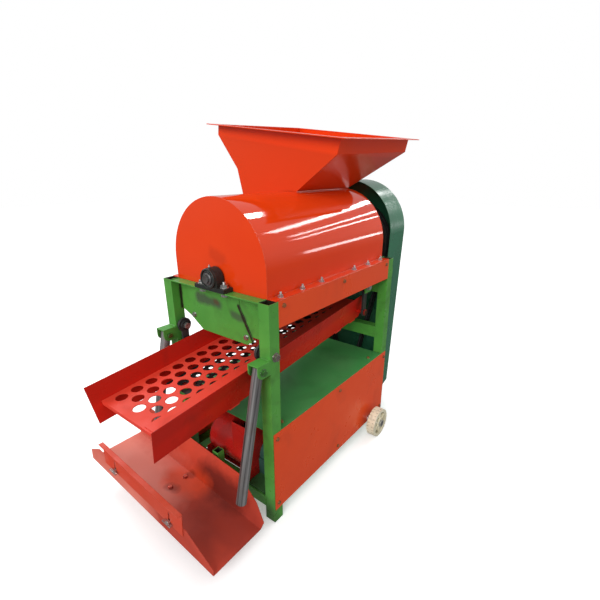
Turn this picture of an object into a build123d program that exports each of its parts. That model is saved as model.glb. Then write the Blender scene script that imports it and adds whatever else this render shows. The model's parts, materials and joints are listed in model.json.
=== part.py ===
"""Chestnut sheller on a welded stand: feed hopper, threshing drum, shaking sieve, blower and chute.

Millimetres. X runs to the right, Y to the back, Z up. The pieces are drawn with x = 0 on the
mid-plane, y = 0 on the front of the front legs and z = 0 on the floor, and are moved to the
bottom centre of the whole machine just before they are written.
"""
import os

from build123d import *
from math import asin, atan, cos, degrees, pi, radians, sin, sqrt

# Frame
TUBE = 40.0
TUBE_WALL = 3.0
FRAME_W = 472.0
FRAME_L = 766.0
LEG_H = 771.0
REAR_LEG_GAP = 22.0
ANGLE = 40.0
ANGLE_T = 4.0
RAIL_SEAT = 50.0
AXLE_SEAT = 12.5
DECK_GAP = 18.0
CROSS_BEAM_Z = 420.0
CROSS_BEAM_H = 50.0
BLOWER_BEAM_Y = 190.0
MOTOR_BEAM_INS = (261.0, 111.0)

# Sheet metal; depths run down from the top of the legs
SHEET = 2.0
SKIN = 1.5
STRIP_H = 80.0
PANEL_MARGIN = 4.0
PANEL_LIFT = 1.0
DECK_FRONT = 6.0
FRONT_PANEL_DEPTH = 161.0
REAR_PANEL_DEPTH = 146.0
CORNER_SHEET_DEPTH = 131.0
PANEL_TAB = (46.0, 103.0)
PANEL_TAB_DEPTH = (103.0, 123.0)
PANEL_LOW_RIGHT = 84.0
SEAM_TOP = (110.0, 41.0)
SEAM_BOTTOM = (55.0, 143.0)
SEAM_LAP = 12.0

# Drum and concave
DRUM_RISE = 69.0
DRUM_FLANGE = 32.0
FLANGE_EDGE = 2.0
DRUM_GAP = 1.0
SHAFT_HOLE_R = 26.0
CONCAVE_SIDE = 18.0
CONCAVE_RIB = 12.0
CONCAVE_RIB_T = 8.0
CONCAVE_ROD_R = 4.0
CONCAVE_RODS = 11
CONCAVE_FAN = 140.0
CONCAVE_GAP = 12.0
CONCAVE_LUG = 6.0
LUG_CLEAR = 2.0

# Rotor and bearings
SHAFT_R = 12.5
CORE_R = 22.0
BEARING_RISE = 36.5
BEARING_BASE = (130.0, 38.0, 13.0)
BEARING_Y = 14.0
BEARING_BOLTS = 98.0
BEARING_HEAD_R = 32.0
BEARING_HEAD_T = 30.0
RING_R = 20.0
RING_T = 34.0
RUN_CLEAR = 0.05
SHAFT_FRONT = 16.0
THRESH_GAP = 30.0
DISC_T = 8.0
DISC_GAP = 24.0
BAR_COUNT = 6
BAR_PROUD = 12.0
BAR_HIGH = 24.0
BAR_WIDE = 16.0
BAR_GAP = 14.0

# Belt drive and guard, behind the stand
PULLEY_GAP = 39.0
PULLEY_W = 50.0
PULLEY_R = 180.0
PULLEY_RIM = 26.0
PULLEY_WEB = 12.0
PULLEY_HUB_R = 34.0
PULLEY_HOLES = 5
PULLEY_HOLE_R = 30.0
MOTOR_PULLEY_R = 45.0
BELT_W = 13.0
BELT_T = 10.0
BELT_PROUD = 1.0
BELT_CLEAR = 0.5
BELT_PITCH = 22.0
GUARD_GAP = 19.0
GUARD_DEEP = 135.0
GUARD_ROOM = 25.0
GUARD_RISE = 93.0
GUARD_WAIST = 186.0
GUARD_WAIST_Z = 120.0
GUARD_BASE = 148.0
GUARD_BASE_Z = 40.0
GUARD_TAB_LOW = 250.0
GUARD_TAB_DEPTH = 81.0
GUARD_TAB = 40.0
GUARD_TAB_T = 3.0
GUARD_TAB_LAP = 30.0

# Main motor
MOTOR_LIFT = 5.0
MOTOR_R = 84.0
MOTOR_L = 254.0
MOTOR_IN = 32.0
MOTOR_FIN = 11.0
MOTOR_FIN_T = 4.0
MOTOR_FINS = 20
MOTOR_FOOT = (190.0, 30.0, 14.0)
MOTOR_SHAFT_R = 14.0
COWL_DEPTH = 52.0
COWL_LAP = 8.0
COWL_SLOTS = 12
COWL_SLOT = (5.0, 34.0)
TERMINAL_BOX = (46.0, 96.0, 84.0)

# Hopper levels: left and right edge, length, height over the drum's top, fall to the right, rise to the back
HOPPER_IN = 386.0
THROAT_RIGHT = 35.7
THROAT_L = 337.0
RIM = (-339.0, 207.0, 498.0, 187.2, 0.124, 0.046)
BAND = (-344.0, 194.0, 504.0, 142.2, 0.151, 0.046)
THROAT = (-250.0, THROAT_RIGHT, THROAT_L, 10.0, 0.255, 0.0)
COLLAR_SIDE = 16.0
COLLAR_DEPTH = 180.0
RIM_FLANGE = 31.0
RIM_T = 3.0
THROAT_LAP = 6.0

# Shaking sieve
SIEVE_FALL = 0.095
SIEVE_FRONT = -308.0
SIEVE_BACK_GAP = 66.5
SIEVE_SIDE = 46.0
STUD_SINK = 13.65
WALL_LEAN = 0.273
WALL_UP = 55.0
WALL_DOWN = 57.0
WALL_NOSE = 28.0
WALL_REAR_CUT = 26.0
BED_LIP = 12.0
HOLE_R = 18.0
HOLE_PITCH = 50.0
HOLE_EDGE = 12.0
ROW_PITCH = 46.0
HOLE_FIRST = 44.0
HOLE_MARGIN = 30.0
STRIP_W = 87.0
STRIP_FRONT = 6.0
STRIP_EDGE = 0.5
LOWER_DECK_DROP = 50.0
LOWER_DECK_FRONT = 200.0
FINE_R = 8.0
FINE_PITCH = 28.0
FINE_FIRST = 21.0
CROSS_BAR = (40.0, 5.0)
CROSS_BAR_FIRST = 250.0
CROSS_BAR_GAP = 110.0

# Hangers
HANGER_L = 110.0
HANGER_T = 8.0
HANGER_IN = 20.0
HANGER_W = 26.0
HANGER_EYE_R = 25.0
HANGER_FOOT_R = 17.0
BUSH_R = 17.0
BUSH_L = 26.0
STUD_R = 8.0
STUD_CAP_R = 13.0
STUD_CAP_T = 4.0
STUD_PLAY = 0.7
STUD_GAP = 2.0
PIVOT_Y = 22.0
PIVOT_DEPTH = 161.0
REAR_PIVOT_IN = 126.0
PIVOT_TAB = 44.0
PIVOT_TAB_T = 6.0

# Vibration motor under the sieve
SHAKER_X = (-120.0, -16.0)
SHAKER_BACK = 132.0
SHAKER_R = 30.0
SHAKER_FOOT_T = 6.0
SHAKER_FOOT_W = 160.0
SHAKER_SHAFT_R = 8.0
SHAKER_CAP = 26.0
SHAKER_CAP_T = 2.0
WEIGHT_CLEAR = 5.0
WEIGHT_T = 14.0

# Blower
BLOWER_W = 210.0
BLOWER_IN = 8.0
BLOWER_Y = 118.0
BLOWER_RISE = 80.0
BLOWER_R = 95.0
BLOWER_FOOT = (5.0, 225.0, 60.0)
BLOWER_SOLE = (42.0, 67.0)
DUCT_W = 85.0
DUCT_Y = (23.0, 93.0)
DUCT_GAP = 9.0
DUCT_SLANT = 40.0
INLET_R = 46.0
IMPELLER_CLEAR = 13.0
IMPELLER_GAP = 12.0
IMPELLER_HUB_R = 20.0
BLADES = 8
BLADE_T = 2.0
BLOWER_SHAFT_R = 9.0
BLOWER_MOTOR_L = 78.0
BLOWER_MOTOR_R = 50.0
BLOWER_MOTOR_FOOT = 110.0
BLOWER_MOTOR_BASE = (5.0, 225.0, 8.0)

# Chute, drawn flat and then tipped down to the right
CHUTE_OUT = (246.0, 50.0)
CHUTE_FALL = 0.1023
CHUTE_L = 663.0
CHUTE_Y = (-270.0, -80.0)
FRONT_WALL = (41.0, 80.0, 18.0)
FRONT_WALL_RUN = (63.0, 117.0)
BACK_LEAN = 40.0
BACK_RISE = 107.0
BACK_CUT = ((0.0, 0.0), (4.0, 0.22), (-42.0, 0.58), (-140.0, 1.0))
GATE_S = (-559.0, -130.0)
GATE_N = (48.0, 138.0)
GATE_FLANGE = 16.0
GATE_T = 2.0
GATE_CLEAR = 0.3
GATE_DROP = 35.0
GATE_STUD_SS = (-491.0, -194.0)
GATE_STUD_N = 58.0
GATE_STUD_R = 4.0
SLOT_CLEAR = 0.5
WING_R = 8.0
WING_SPAN = 19.0
WING_T = 4.0
ARM_S = -343.0
ARM_W = 40.0
ARM_LEG = 30.0
ARM_REACH = 200.0
ARM_BOLT_YS = (-167.0, -105.0)
POST = 28.0
POST_X = -13.0
POST_TOP = 185.0

# Handles
HANDLE_R = 16.0
HANDLE_WALL = 2.5
HANDLE_L = 417.0
HANDLE_HEAD = 10.0
HANDLE_LEAN = 13.2
HANDLE_Y = -31.0
HANDLE_Z = 583.0
HANDLE_PIN_R = 5.0
HANDLE_SIDE = 1.0
CLEVIS_T = 3.0
CLEVIS_NOSE = 20.0
CLEVIS_TOP = 23.0
CLEVIS_DROP = 20.0

# Wheels and axle
WHEEL_R = 62.5
WHEEL_W = 36.0
WHEEL_RIM = 13.0
WHEEL_HUB_R = 20.0
WHEEL_WEB = 8.0
WHEEL_SPOKES = 6
SPOKE_T = 6.0
WHEEL_GAP = 24.0
WHEEL_IN = 126.0
AXLE_R = 10.0
AXLE_RUN = 0.08
AXLE_END = 8.0
TREAD_GROOVES = 24
TREAD = 2.0
SPACER_R = 15.0
SIDE_PLAY = 0.4

# Fasteners: thread radius, and proportions to it
M6_R = 3.0
M8_R = 4.0
M12_R = 6.0
HEAD_R = 1.9
HEAD_H = 1.3
WASHER_R = 2.3
WASHER_H = 0.35
NUT_H = 1.6
HOLE_SLACK = 0.3
FLANGE_BOLT_END = 75.0
FLANGE_BOLT_COUNT = 7
FLANGE_BOLT_MISSING = 3
FLANGE_BOLT_IN = 14.0
STRIP_SCREW_DROP = 15.0
STRIP_SCREW_END = 63.0
PANEL_SCREW_EDGE = (23.0, 22.0)
DECK_BOLT_IN = 26.0
DECK_BOLT_END = (73.0, 113.0)
PANEL_BOLTS = ((-132.0, 116.0), (110.0, 137.0))

# Places that follow from the sizes above
HALF = FRAME_W / 2
INNER = HALF - TUBE
LEG_X = HALF - TUBE / 2
BACK = FRAME_L - TUBE
SKIN_X = HALF - SHEET
FLANGE_Z = LEG_H + SHEET
PANEL_Y = ANGLE - ANGLE_T - SKIN
BASE_RAIL_Z = WHEEL_R - AXLE_SEAT
BASE_TOP = BASE_RAIL_Z + TUBE
PANEL_BOTTOM = BASE_RAIL_Z + PANEL_LIFT
MOTOR_Y = (FRAME_L - MOTOR_IN - MOTOR_L, FRAME_L - MOTOR_IN)
MOTOR_Z = BASE_TOP + MOTOR_LIFT + MOTOR_R + MOTOR_FIN
MOTOR_BEAM_YS = [FRAME_L - inset for inset in MOTOR_BEAM_INS]
DECK_Z = MOTOR_Z + MOTOR_R + MOTOR_FIN + TERMINAL_BOX[0] + DECK_GAP + SHEET
SHAFT_Z = LEG_H + BEARING_RISE
DRUM_Y = BEARING_Y + BEARING_BASE[1] / 2 + DRUM_GAP
DRUM_END = FRAME_L - DRUM_Y
DRUM_R = SKIN_X - FLANGE_EDGE - DRUM_FLANGE
DRUM_ARCH_Z = LEG_H + DRUM_RISE
DRUM_TOP = DRUM_ARCH_Z + DRUM_R
CONCAVE_R = DRUM_R - SHEET - CONCAVE_SIDE - CONCAVE_RIB
BAR_TIP_R = CONCAVE_R - THRESH_GAP
DISC_R = BAR_TIP_R - BAR_PROUD
PULLEY_Y = FRAME_L + PULLEY_GAP
PULLEY_END = PULLEY_Y + PULLEY_W
PULLEY_MID = PULLEY_Y + PULLEY_W / 2
GUARD_Y = (FRAME_L + GUARD_GAP, FRAME_L + GUARD_GAP + GUARD_DEEP)
GUARD_R = PULLEY_R + BELT_PROUD + GUARD_ROOM
GUARD_ARC_Z = LEG_H + GUARD_RISE
HOPPER_Y = FRAME_L - HOPPER_IN
COLLAR = (COLLAR_SIDE - DRUM_R, THROAT_RIGHT, THROAT_L, -COLLAR_DEPTH, 0.0, 0.0)
SIEVE_ANGLE = degrees(atan(SIEVE_FALL))
SIEVE_L = (FRAME_L - SIEVE_BACK_GAP - SIEVE_FRONT) / cos(radians(SIEVE_ANGLE))
SIEVE_HALF = INNER - SIEVE_SIDE
HANGER_X = INNER - HANGER_IN
PIVOT_Z = LEG_H - PIVOT_DEPTH
REAR_PIVOT_Y = FRAME_L - REAR_PIVOT_IN
REAR_PIVOT_Z = PIVOT_Z + SIEVE_FALL * (REAR_PIVOT_Y - PIVOT_Y)
PIVOTS = ((PIVOT_Y, PIVOT_Z), (REAR_PIVOT_Y, REAR_PIVOT_Z))
SIEVE_FRONT_Z = PIVOT_Z - HANGER_L + STUD_SINK - SIEVE_FALL * (PIVOT_Y - SIEVE_FRONT)
SHAKER_U = SIEVE_L - SHAKER_BACK
WEIGHT_R = SHAKER_R - SHAKER_CAP_T - WEIGHT_CLEAR
BLOWER_X = (INNER - BLOWER_IN - BLOWER_MOTOR_L - BLOWER_W, INNER - BLOWER_IN - BLOWER_MOTOR_L)
BLOWER_Z = BASE_TOP + BLOWER_RISE
DUCT_X = BLOWER_X[1] - DUCT_W
DUCT_TOP = DECK_Z - SHEET - DUCT_GAP
IMPELLER_R = BLOWER_R - SHEET - IMPELLER_CLEAR
CHUTE_ANGLE = degrees(atan(CHUTE_FALL))
WHEEL_X = HALF + SKIN + WHEEL_GAP
WHEEL_Y = FRAME_L - WHEEL_IN

TURN = {"x": Rot(0, 90, 0), "y": Rot(-90, 0, 0), "z": Rot(0, 0, 0)}
FAR = 4 * FRAME_L
nodes = {}


def block(x, y, z):
    """Box from three (low, high) pairs."""
    spans = (x, y, z)
    middle = [(low + high) / 2 for low, high in spans]
    return Pos(*middle) * Box(*[high - low for low, high in spans])


def rod(axis, radius, span, at):
    """Cylinder along an axis; at holds the other two coordinates in X, Y, Z order."""
    middle = (span[0] + span[1]) / 2
    spot = {"x": (middle, *at), "y": (at[0], middle, at[-1]), "z": (*at, middle)}[axis]
    return Pos(*spot) * TURN[axis] * Cylinder(radius, span[1] - span[0])


def along_x(sketch, span):
    """Prism of a (y, z) sketch."""
    plane = Plane(origin=(span[0], 0, 0), x_dir=(0, 1, 0), z_dir=(1, 0, 0))
    return extrude(plane * sketch, amount=span[1] - span[0])


def along_y(sketch, span):
    """Prism of an (x, z) sketch."""
    plane = Plane(origin=(0, span[1], 0), x_dir=(1, 0, 0), z_dir=(0, -1, 0))
    return extrude(plane * sketch, amount=span[1] - span[0])


def along_z(sketch, span):
    """Prism of an (x, y) sketch."""
    return extrude(Pos(0, 0, span[0]) * sketch, amount=span[1] - span[0])


def outline(*points):
    return Polygon(*points, align=None)


def rect(u, v):
    """Rectangle from two (low, high) pairs."""
    return Pos((u[0] + u[1]) / 2, (v[0] + v[1]) / 2) * Rectangle(u[1] - u[0], v[1] - v[0])


def disc(radius, u, v):
    return Pos(u, v) * Circle(radius)


def tube(axis, span, at):
    """Square tube of the frame, centred on the other two coordinates."""
    outer = Rectangle(TUBE, TUBE)
    inner = Rectangle(TUBE - 2 * TUBE_WALL, TUBE - 2 * TUBE_WALL)
    draw = {"x": along_x, "y": along_y, "z": along_z}[axis]
    return draw(Pos(*at) * (outer - inner), span)


def flip(shape):
    """Left-hand copy of a right-hand piece."""
    return mirror(shape, about=Plane.YZ)


def both(shape):
    return [shape, flip(shape)]


def fastener(at, direction, radius, grip, nut=True):
    """Bolt with washer and hexagon head on a surface at the given point, its shank going inwards."""
    washer = WASHER_H * radius
    head = HEAD_H * radius
    depth = grip + (NUT_H * radius if nut else 0)
    shape = along_z(Circle(radius), (-depth, washer))
    shape += along_z(Circle(WASHER_R * radius), (0, washer))
    shape += along_z(RegularPolygon(HEAD_R * radius, 6), (washer, washer + head))
    if nut:
        shape += along_z(RegularPolygon(HEAD_R * radius, 6), (-depth, -grip))
    return Plane(origin=at, z_dir=direction).location * shape


def drill(shape, places, radius):
    """Clearance holes through everything on the way of the (point, direction) places."""
    for at, direction in places:
        hole = Cylinder(radius + HOLE_SLACK, 2 * TUBE_WALL + 2 * ANGLE)
        shape -= Plane(origin=at, z_dir=direction).location * hole
    return shape


def keep(name, *solids):
    nodes[name] = solids


def flange_bolt_places():
    step = (FRAME_L - 2 * FLANGE_BOLT_END) / (FLANGE_BOLT_COUNT - 1)
    rows = [FLANGE_BOLT_END + i * step for i in range(FLANGE_BOLT_COUNT) if i != FLANGE_BOLT_MISSING]
    x = DRUM_R + FLANGE_BOLT_IN
    return [((side * x, y, FLANGE_Z), (0, 0, 1)) for side in (1, -1) for y in rows]


def strip_screw_places():
    rows = (STRIP_SCREW_END, FRAME_L / 2, FRAME_L - STRIP_SCREW_END)
    z = LEG_H - STRIP_SCREW_DROP
    return [((side * HALF, y, z), (side, 0, 0)) for side in (1, -1) for y in rows]


def panel_screw_places():
    rows = (TUBE / 2, FRAME_L / 2, FRAME_L - TUBE / 2)
    levels = (PANEL_BOTTOM + PANEL_SCREW_EDGE[0], DECK_Z - PANEL_SCREW_EDGE[1])
    spots = [(y, z) for y in rows for z in levels]
    return [((side * (HALF + SKIN), *spot), (side, 0, 0)) for side in (1, -1) for spot in spots]


def deck_bolt_places():
    rows = (DECK_BOLT_END[0], FRAME_L - DECK_BOLT_END[1])
    return [((side * (HALF - DECK_BOLT_IN), y, DECK_Z), (0, 0, 1)) for side in (1, -1) for y in rows]


def panel_bolt_places():
    return [((x, PANEL_Y, LEG_H - depth), (0, -1, 0)) for x, depth in PANEL_BOLTS]


def bearing_bolt_places():
    z = LEG_H + BEARING_BASE[2]
    ys = (BEARING_Y, FRAME_L - BEARING_Y)
    return [((side * BEARING_BOLTS / 2, y, z), (0, 0, 1)) for side in (1, -1) for y in ys]


def make_frame():
    screws = panel_screw_places()
    strip_screws = strip_screw_places()
    flange_bolts = flange_bolt_places()
    deck_bolts = deck_bolt_places()
    bearing_bolts = bearing_bolt_places()
    pivot = rod("x", M12_R + HOLE_SLACK, (-FAR, FAR), (PIVOT_Y, PIVOT_Z))
    front = tube("z", (0, LEG_H), (LEG_X, TUBE / 2)) - pivot
    keep("front_legs", *[drill(leg, screws, M6_R) for leg in both(front)])
    rear = tube("z", (REAR_LEG_GAP, LEG_H), (LEG_X, FRAME_L - TUBE / 2))
    keep("rear_legs", *[drill(leg, screws, M6_R) for leg in both(rear)])
    beam = block((-INNER, INNER), (0, ANGLE), (LEG_H - ANGLE_T, LEG_H))
    beam += block((-INNER, INNER), (ANGLE - ANGLE_T, ANGLE), (LEG_H - ANGLE, LEG_H))
    rear_beam = Pos(0, FRAME_L, 0) * mirror(beam, about=Plane.XZ)
    keep("top_cross_beams", *[drill(shape, bearing_bolts, M12_R) for shape in (beam, rear_beam)])
    rail = block((SKIN_X - RAIL_SEAT, SKIN_X), (TUBE, BACK), (LEG_H - ANGLE_T, LEG_H))
    rail += block((SKIN_X - ANGLE_T, SKIN_X), (TUBE, BACK), (LEG_H - ANGLE, LEG_H))
    tab_y = (REAR_PIVOT_Y - PIVOT_TAB / 2, REAR_PIVOT_Y + PIVOT_TAB / 2)
    tab_x = (INNER - PIVOT_TAB_T, INNER)
    rail += block(tab_x, tab_y, (REAR_PIVOT_Z - PIVOT_TAB / 2, LEG_H - ANGLE_T))
    rail -= rod("x", M12_R + HOLE_SLACK, tab_x, (REAR_PIVOT_Y, REAR_PIVOT_Z))
    rails = [drill(drill(shape, flange_bolts, M8_R), strip_screws, M6_R) for shape in both(rail)]
    keep("top_side_rails", *rails)
    low = BASE_RAIL_Z + TUBE / 2
    ys = [TUBE / 2, FRAME_L - TUBE / 2]
    ys += [y + TUBE / 2 for y in (BLOWER_BEAM_Y, *MOTOR_BEAM_YS)]
    beams = [tube("x", (-INNER, INNER), (y, low)) for y in ys]
    axle = rod("x", AXLE_R + HOLE_SLACK, (-FAR, FAR), (WHEEL_Y, WHEEL_R))
    base = tube("y", (TUBE, BACK), (LEG_X, low)) - axle
    keep("lower_side_rails", *[drill(shape, screws, M6_R) for shape in both(base)])
    seat = DECK_Z - SHEET
    deck_rail = block((INNER, HALF), (TUBE, BACK), (seat - ANGLE_T, seat))
    deck_rail += block((HALF - ANGLE_T, HALF), (TUBE, BACK), (seat - ANGLE, seat))
    deck_rails = [drill(drill(shape, screws, M6_R), deck_bolts, M6_R) for shape in both(deck_rail)]
    keep("deck_side_rails", *deck_rails)
    cross = block((-INNER, INNER), (BACK, FRAME_L), (CROSS_BEAM_Z, CROSS_BEAM_Z + CROSS_BEAM_H))
    hollow = block((-INNER, INNER), (BACK + TUBE_WALL, FRAME_L - TUBE_WALL),
                   (CROSS_BEAM_Z + TUBE_WALL, CROSS_BEAM_Z + CROSS_BEAM_H - TUBE_WALL))
    keep("cross_beams", *beams, cross - hollow)


def make_panels():
    deck = rect((-HALF, HALF), (TUBE, BACK)) + rect((-INNER, INNER), (DECK_FRONT, TUBE))
    deck = along_z(deck, (DECK_Z - SHEET, DECK_Z))
    keep("deck_sheet", drill(deck, deck_bolt_places(), M6_R))
    top = LEG_H - ANGLE_T
    seam_top = (INNER - SEAM_TOP[0], LEG_H - SEAM_TOP[1])
    seam_low = (INNER - SEAM_BOTTOM[0], LEG_H - SEAM_BOTTOM[1])
    tab_high, tab_low = [LEG_H - depth for depth in PANEL_TAB_DEPTH]
    low = LEG_H - FRONT_PANEL_DEPTH
    front = outline((-INNER, top), (-INNER, tab_high), (-INNER + PANEL_TAB[0], tab_low),
                    (-INNER + PANEL_TAB[1], low), (INNER - PANEL_LOW_RIGHT, low),
                    seam_low, seam_top, (seam_top[0], top))
    keep("front_panel", drill(along_y(front, (PANEL_Y, PANEL_Y + SKIN)), panel_bolt_places(), M8_R))
    under = LEG_H - ANGLE
    slope = (seam_low[0] - seam_top[0]) / (seam_top[1] - seam_low[1])
    corner_low = LEG_H - CORNER_SHEET_DEPTH
    tip = seam_low[0] - slope * (corner_low - seam_low[1])
    corner = outline((seam_top[0] - SEAM_LAP, under), (tip - SEAM_LAP, corner_low), (INNER, corner_low),
                     (INNER, under))
    keep("front_corner_sheet", along_y(corner, (PANEL_Y + SKIN, PANEL_Y + 2 * SKIN)))
    back = FRAME_L - PANEL_Y
    keep("rear_panel", block((-INNER, INNER), (back - SKIN, back), (LEG_H - REAR_PANEL_DEPTH, top)))
    strip = block((SKIN_X, HALF), (TUBE, BACK), (FLANGE_Z - STRIP_H, FLANGE_Z))
    panel = block((HALF, HALF + SKIN), (PANEL_MARGIN, FRAME_L - PANEL_MARGIN), (PANEL_BOTTOM, DECK_Z))
    panel -= rod("x", AXLE_R + HOLE_SLACK, (HALF, HALF + SKIN), (WHEEL_Y, WHEEL_R))
    keep("side_strips", *[drill(shape, strip_screw_places(), M6_R) for shape in both(strip)])
    keep("side_panels", *[drill(shape, panel_screw_places(), M6_R) for shape in both(panel)])


def arch(radius):
    """Drum outline: round top with straight sides down to the rails."""
    whole = disc(radius, 0, DRUM_ARCH_Z) + rect((-radius, radius), (LEG_H, DRUM_ARCH_Z))
    return whole & rect((-radius, radius), (LEG_H, DRUM_ARCH_Z + radius))


def make_drum():
    inside = DRUM_R - SHEET
    span = (DRUM_Y + SHEET, DRUM_END - SHEET)
    cover = along_y(arch(DRUM_R) - arch(inside), span)
    for flange in both(block((inside, DRUM_R + DRUM_FLANGE), span, (LEG_H, FLANGE_Z))):
        cover += flange
    throat_x = (COLLAR[0] + THROAT_LAP, THROAT_RIGHT - THROAT_LAP)
    throat_y = (HOPPER_Y + THROAT_LAP, HOPPER_Y + THROAT_L - THROAT_LAP)
    cover -= block(throat_x, throat_y, (SHAFT_Z, SHAFT_Z + FAR))
    keep("drum_cover", drill(cover, flange_bolt_places(), M8_R))
    plate = arch(DRUM_R) - disc(SHAFT_HOLE_R, 0, SHAFT_Z)
    spans = ((DRUM_Y, DRUM_Y + SHEET), (DRUM_END - SHEET, DRUM_END))
    keep("drum_end_plates", *[along_y(plate, span) for span in spans])


def make_concave():
    lug_top = LEG_H + CONCAVE_LUG
    outer_r = CONCAVE_R + CONCAVE_RIB
    rib = disc(outer_r, 0, SHAFT_Z) - disc(CONCAVE_R, 0, SHAFT_Z)
    rib &= rect((-outer_r, outer_r), (SHAFT_Z - outer_r, lug_top))
    low = DRUM_Y + CONCAVE_GAP
    high = DRUM_END - CONCAVE_GAP
    middle = (low + high - CONCAVE_RIB_T) / 2
    edge = sqrt(CONCAVE_R ** 2 - (SHAFT_Z - lug_top) ** 2)
    lug = block((edge, DRUM_R - SHEET - LUG_CLEAR), (low, high), (LEG_H, lug_top))
    grate = lug + flip(lug)
    for start in (low, middle, high - CONCAVE_RIB_T):
        grate += along_y(rib, (start, start + CONCAVE_RIB_T))
    ring = CONCAVE_R + CONCAVE_RIB / 2
    for i in range(CONCAVE_RODS):
        turn = radians(CONCAVE_FAN * (i / (CONCAVE_RODS - 1) - 1 / 2))
        grate += rod("y", CONCAVE_ROD_R, (low, high), (ring * sin(turn), SHAFT_Z - ring * cos(turn)))
    keep("concave_grate", grate)


def bearing(y):
    """Pillow block on a beam, with its bore on the rotor axis."""
    wide, deep, high = BEARING_BASE
    body = block((-wide / 2, wide / 2), (y - deep / 2, y + deep / 2), (LEG_H, LEG_H + high))
    span = (y - BEARING_HEAD_T / 2, y + BEARING_HEAD_T / 2)
    head = disc(BEARING_HEAD_R, 0, SHAFT_Z) + rect((-BEARING_HEAD_R, BEARING_HEAD_R), (LEG_H, SHAFT_Z))
    head &= rect((-wide / 2, wide / 2), (LEG_H, SHAFT_Z + BEARING_HEAD_R))
    body += along_y(head, span)
    body -= rod("y", RING_R, (y - deep, y + deep), (0, SHAFT_Z))
    return drill(body, bearing_bolt_places(), M12_R)


def turned(points, x, z):
    """Solid of revolution about an axis along Y, from (radius, y) points."""
    face = Face(Wire.make_polygon([(x + r, y, z) for r, y in points]))
    return revolve(face, axis=Axis((x, 0, z), (0, 1, 0)))


def groove_cuts(radius, x, z):
    """Rings that the belts run in."""
    depth = BELT_T - BELT_PROUD + BELT_CLEAR
    half = BELT_W / 2 + BELT_CLEAR
    rings = []
    for side in (-1, 1):
        y = PULLEY_MID + side * BELT_PITCH / 2
        rings.append(turned([(radius - depth, y - half), (radius + depth, y - half),
                             (radius + depth, y + half), (radius - depth, y + half)], x, z))
    return rings


def make_rotor():
    shaft = rod("y", SHAFT_R, (-SHAFT_FRONT, PULLEY_END), (0, SHAFT_Z))
    shaft += rod("y", CORE_R, (DRUM_Y + CONCAVE_GAP, DRUM_END - CONCAVE_GAP), (0, SHAFT_Z))
    keep("rotor_shaft", shaft)
    rings = []
    for y in (BEARING_Y, FRAME_L - BEARING_Y):
        ring = rod("y", RING_R - RUN_CLEAR, (y - RING_T / 2, y + RING_T / 2), (0, SHAFT_Z))
        rings.append(ring - rod("y", SHAFT_R, (y - RING_T, y + RING_T), (0, SHAFT_Z)))
    keep("bearing_rings", *rings)
    low = DRUM_Y + CONCAVE_GAP + BAR_GAP
    high = DRUM_END - CONCAVE_GAP - BAR_GAP
    bar = block((-BAR_WIDE / 2, BAR_WIDE / 2), (low, high), (BAR_TIP_R - BAR_HIGH, BAR_TIP_R))
    bars = [Pos(0, 0, SHAFT_Z) * Rot(0, i * 360 / BAR_COUNT, 0) * bar for i in range(BAR_COUNT)]
    keep("beater_bars", *bars)
    discs = []
    for y in (low + DISC_GAP, (low + high) / 2, high - DISC_GAP):
        plate = rod("y", DISC_R, (y - DISC_T / 2, y + DISC_T / 2), (0, SHAFT_Z))
        plate -= rod("y", CORE_R, (y - DISC_T, y + DISC_T), (0, SHAFT_Z))
        for shape in bars:
            plate -= shape
        discs.append(plate)
    keep("rotor_discs", *discs)
    half_web = PULLEY_WEB / 2
    rim_r = PULLEY_R - PULLEY_RIM
    pulley = turned([(SHAFT_R, PULLEY_Y), (PULLEY_HUB_R, PULLEY_Y), (PULLEY_HUB_R, PULLEY_MID - half_web),
                     (rim_r, PULLEY_MID - half_web), (rim_r, PULLEY_Y), (PULLEY_R, PULLEY_Y),
                     (PULLEY_R, PULLEY_END), (rim_r, PULLEY_END), (rim_r, PULLEY_MID + half_web),
                     (PULLEY_HUB_R, PULLEY_MID + half_web), (PULLEY_HUB_R, PULLEY_END),
                     (SHAFT_R, PULLEY_END)], 0, SHAFT_Z)
    ring = (PULLEY_HUB_R + rim_r) / 2
    for i in range(PULLEY_HOLES):
        turn = 2 * pi * i / PULLEY_HOLES
        spot = (ring * sin(turn), SHAFT_Z + ring * cos(turn))
        pulley -= rod("y", PULLEY_HOLE_R, (PULLEY_Y, PULLEY_END), spot)
    for cut in groove_cuts(PULLEY_R, 0, SHAFT_Z):
        pulley -= cut
    keep("rotor_pulley", pulley)


def belt_loop(grow):
    """Outline of a belt round both pulleys, grown or shrunk from their rims."""
    top = PULLEY_R + grow
    low = MOTOR_PULLEY_R + grow
    turn = asin((top - low) / (SHAFT_Z - MOTOR_Z))
    upper = [(side * top * cos(turn), SHAFT_Z - top * sin(turn)) for side in (1, -1)]
    lower = [(side * low * cos(turn), MOTOR_Z - low * sin(turn)) for side in (1, -1)]
    edges = [ThreePointArc(upper[0], (0, SHAFT_Z + top), upper[1]), Line(upper[1], lower[1]),
             ThreePointArc(lower[1], (0, MOTOR_Z - low), lower[0]), Line(lower[0], upper[0])]
    return make_face(edges)


def make_belts():
    section = belt_loop(BELT_PROUD) - belt_loop(BELT_PROUD - BELT_T)
    belts = []
    for side in (-1, 1):
        y = PULLEY_MID + side * BELT_PITCH / 2
        belts.append(along_y(section, (y - BELT_W / 2, y + BELT_W / 2)))
    keep("drive_belts", *belts)


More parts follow.
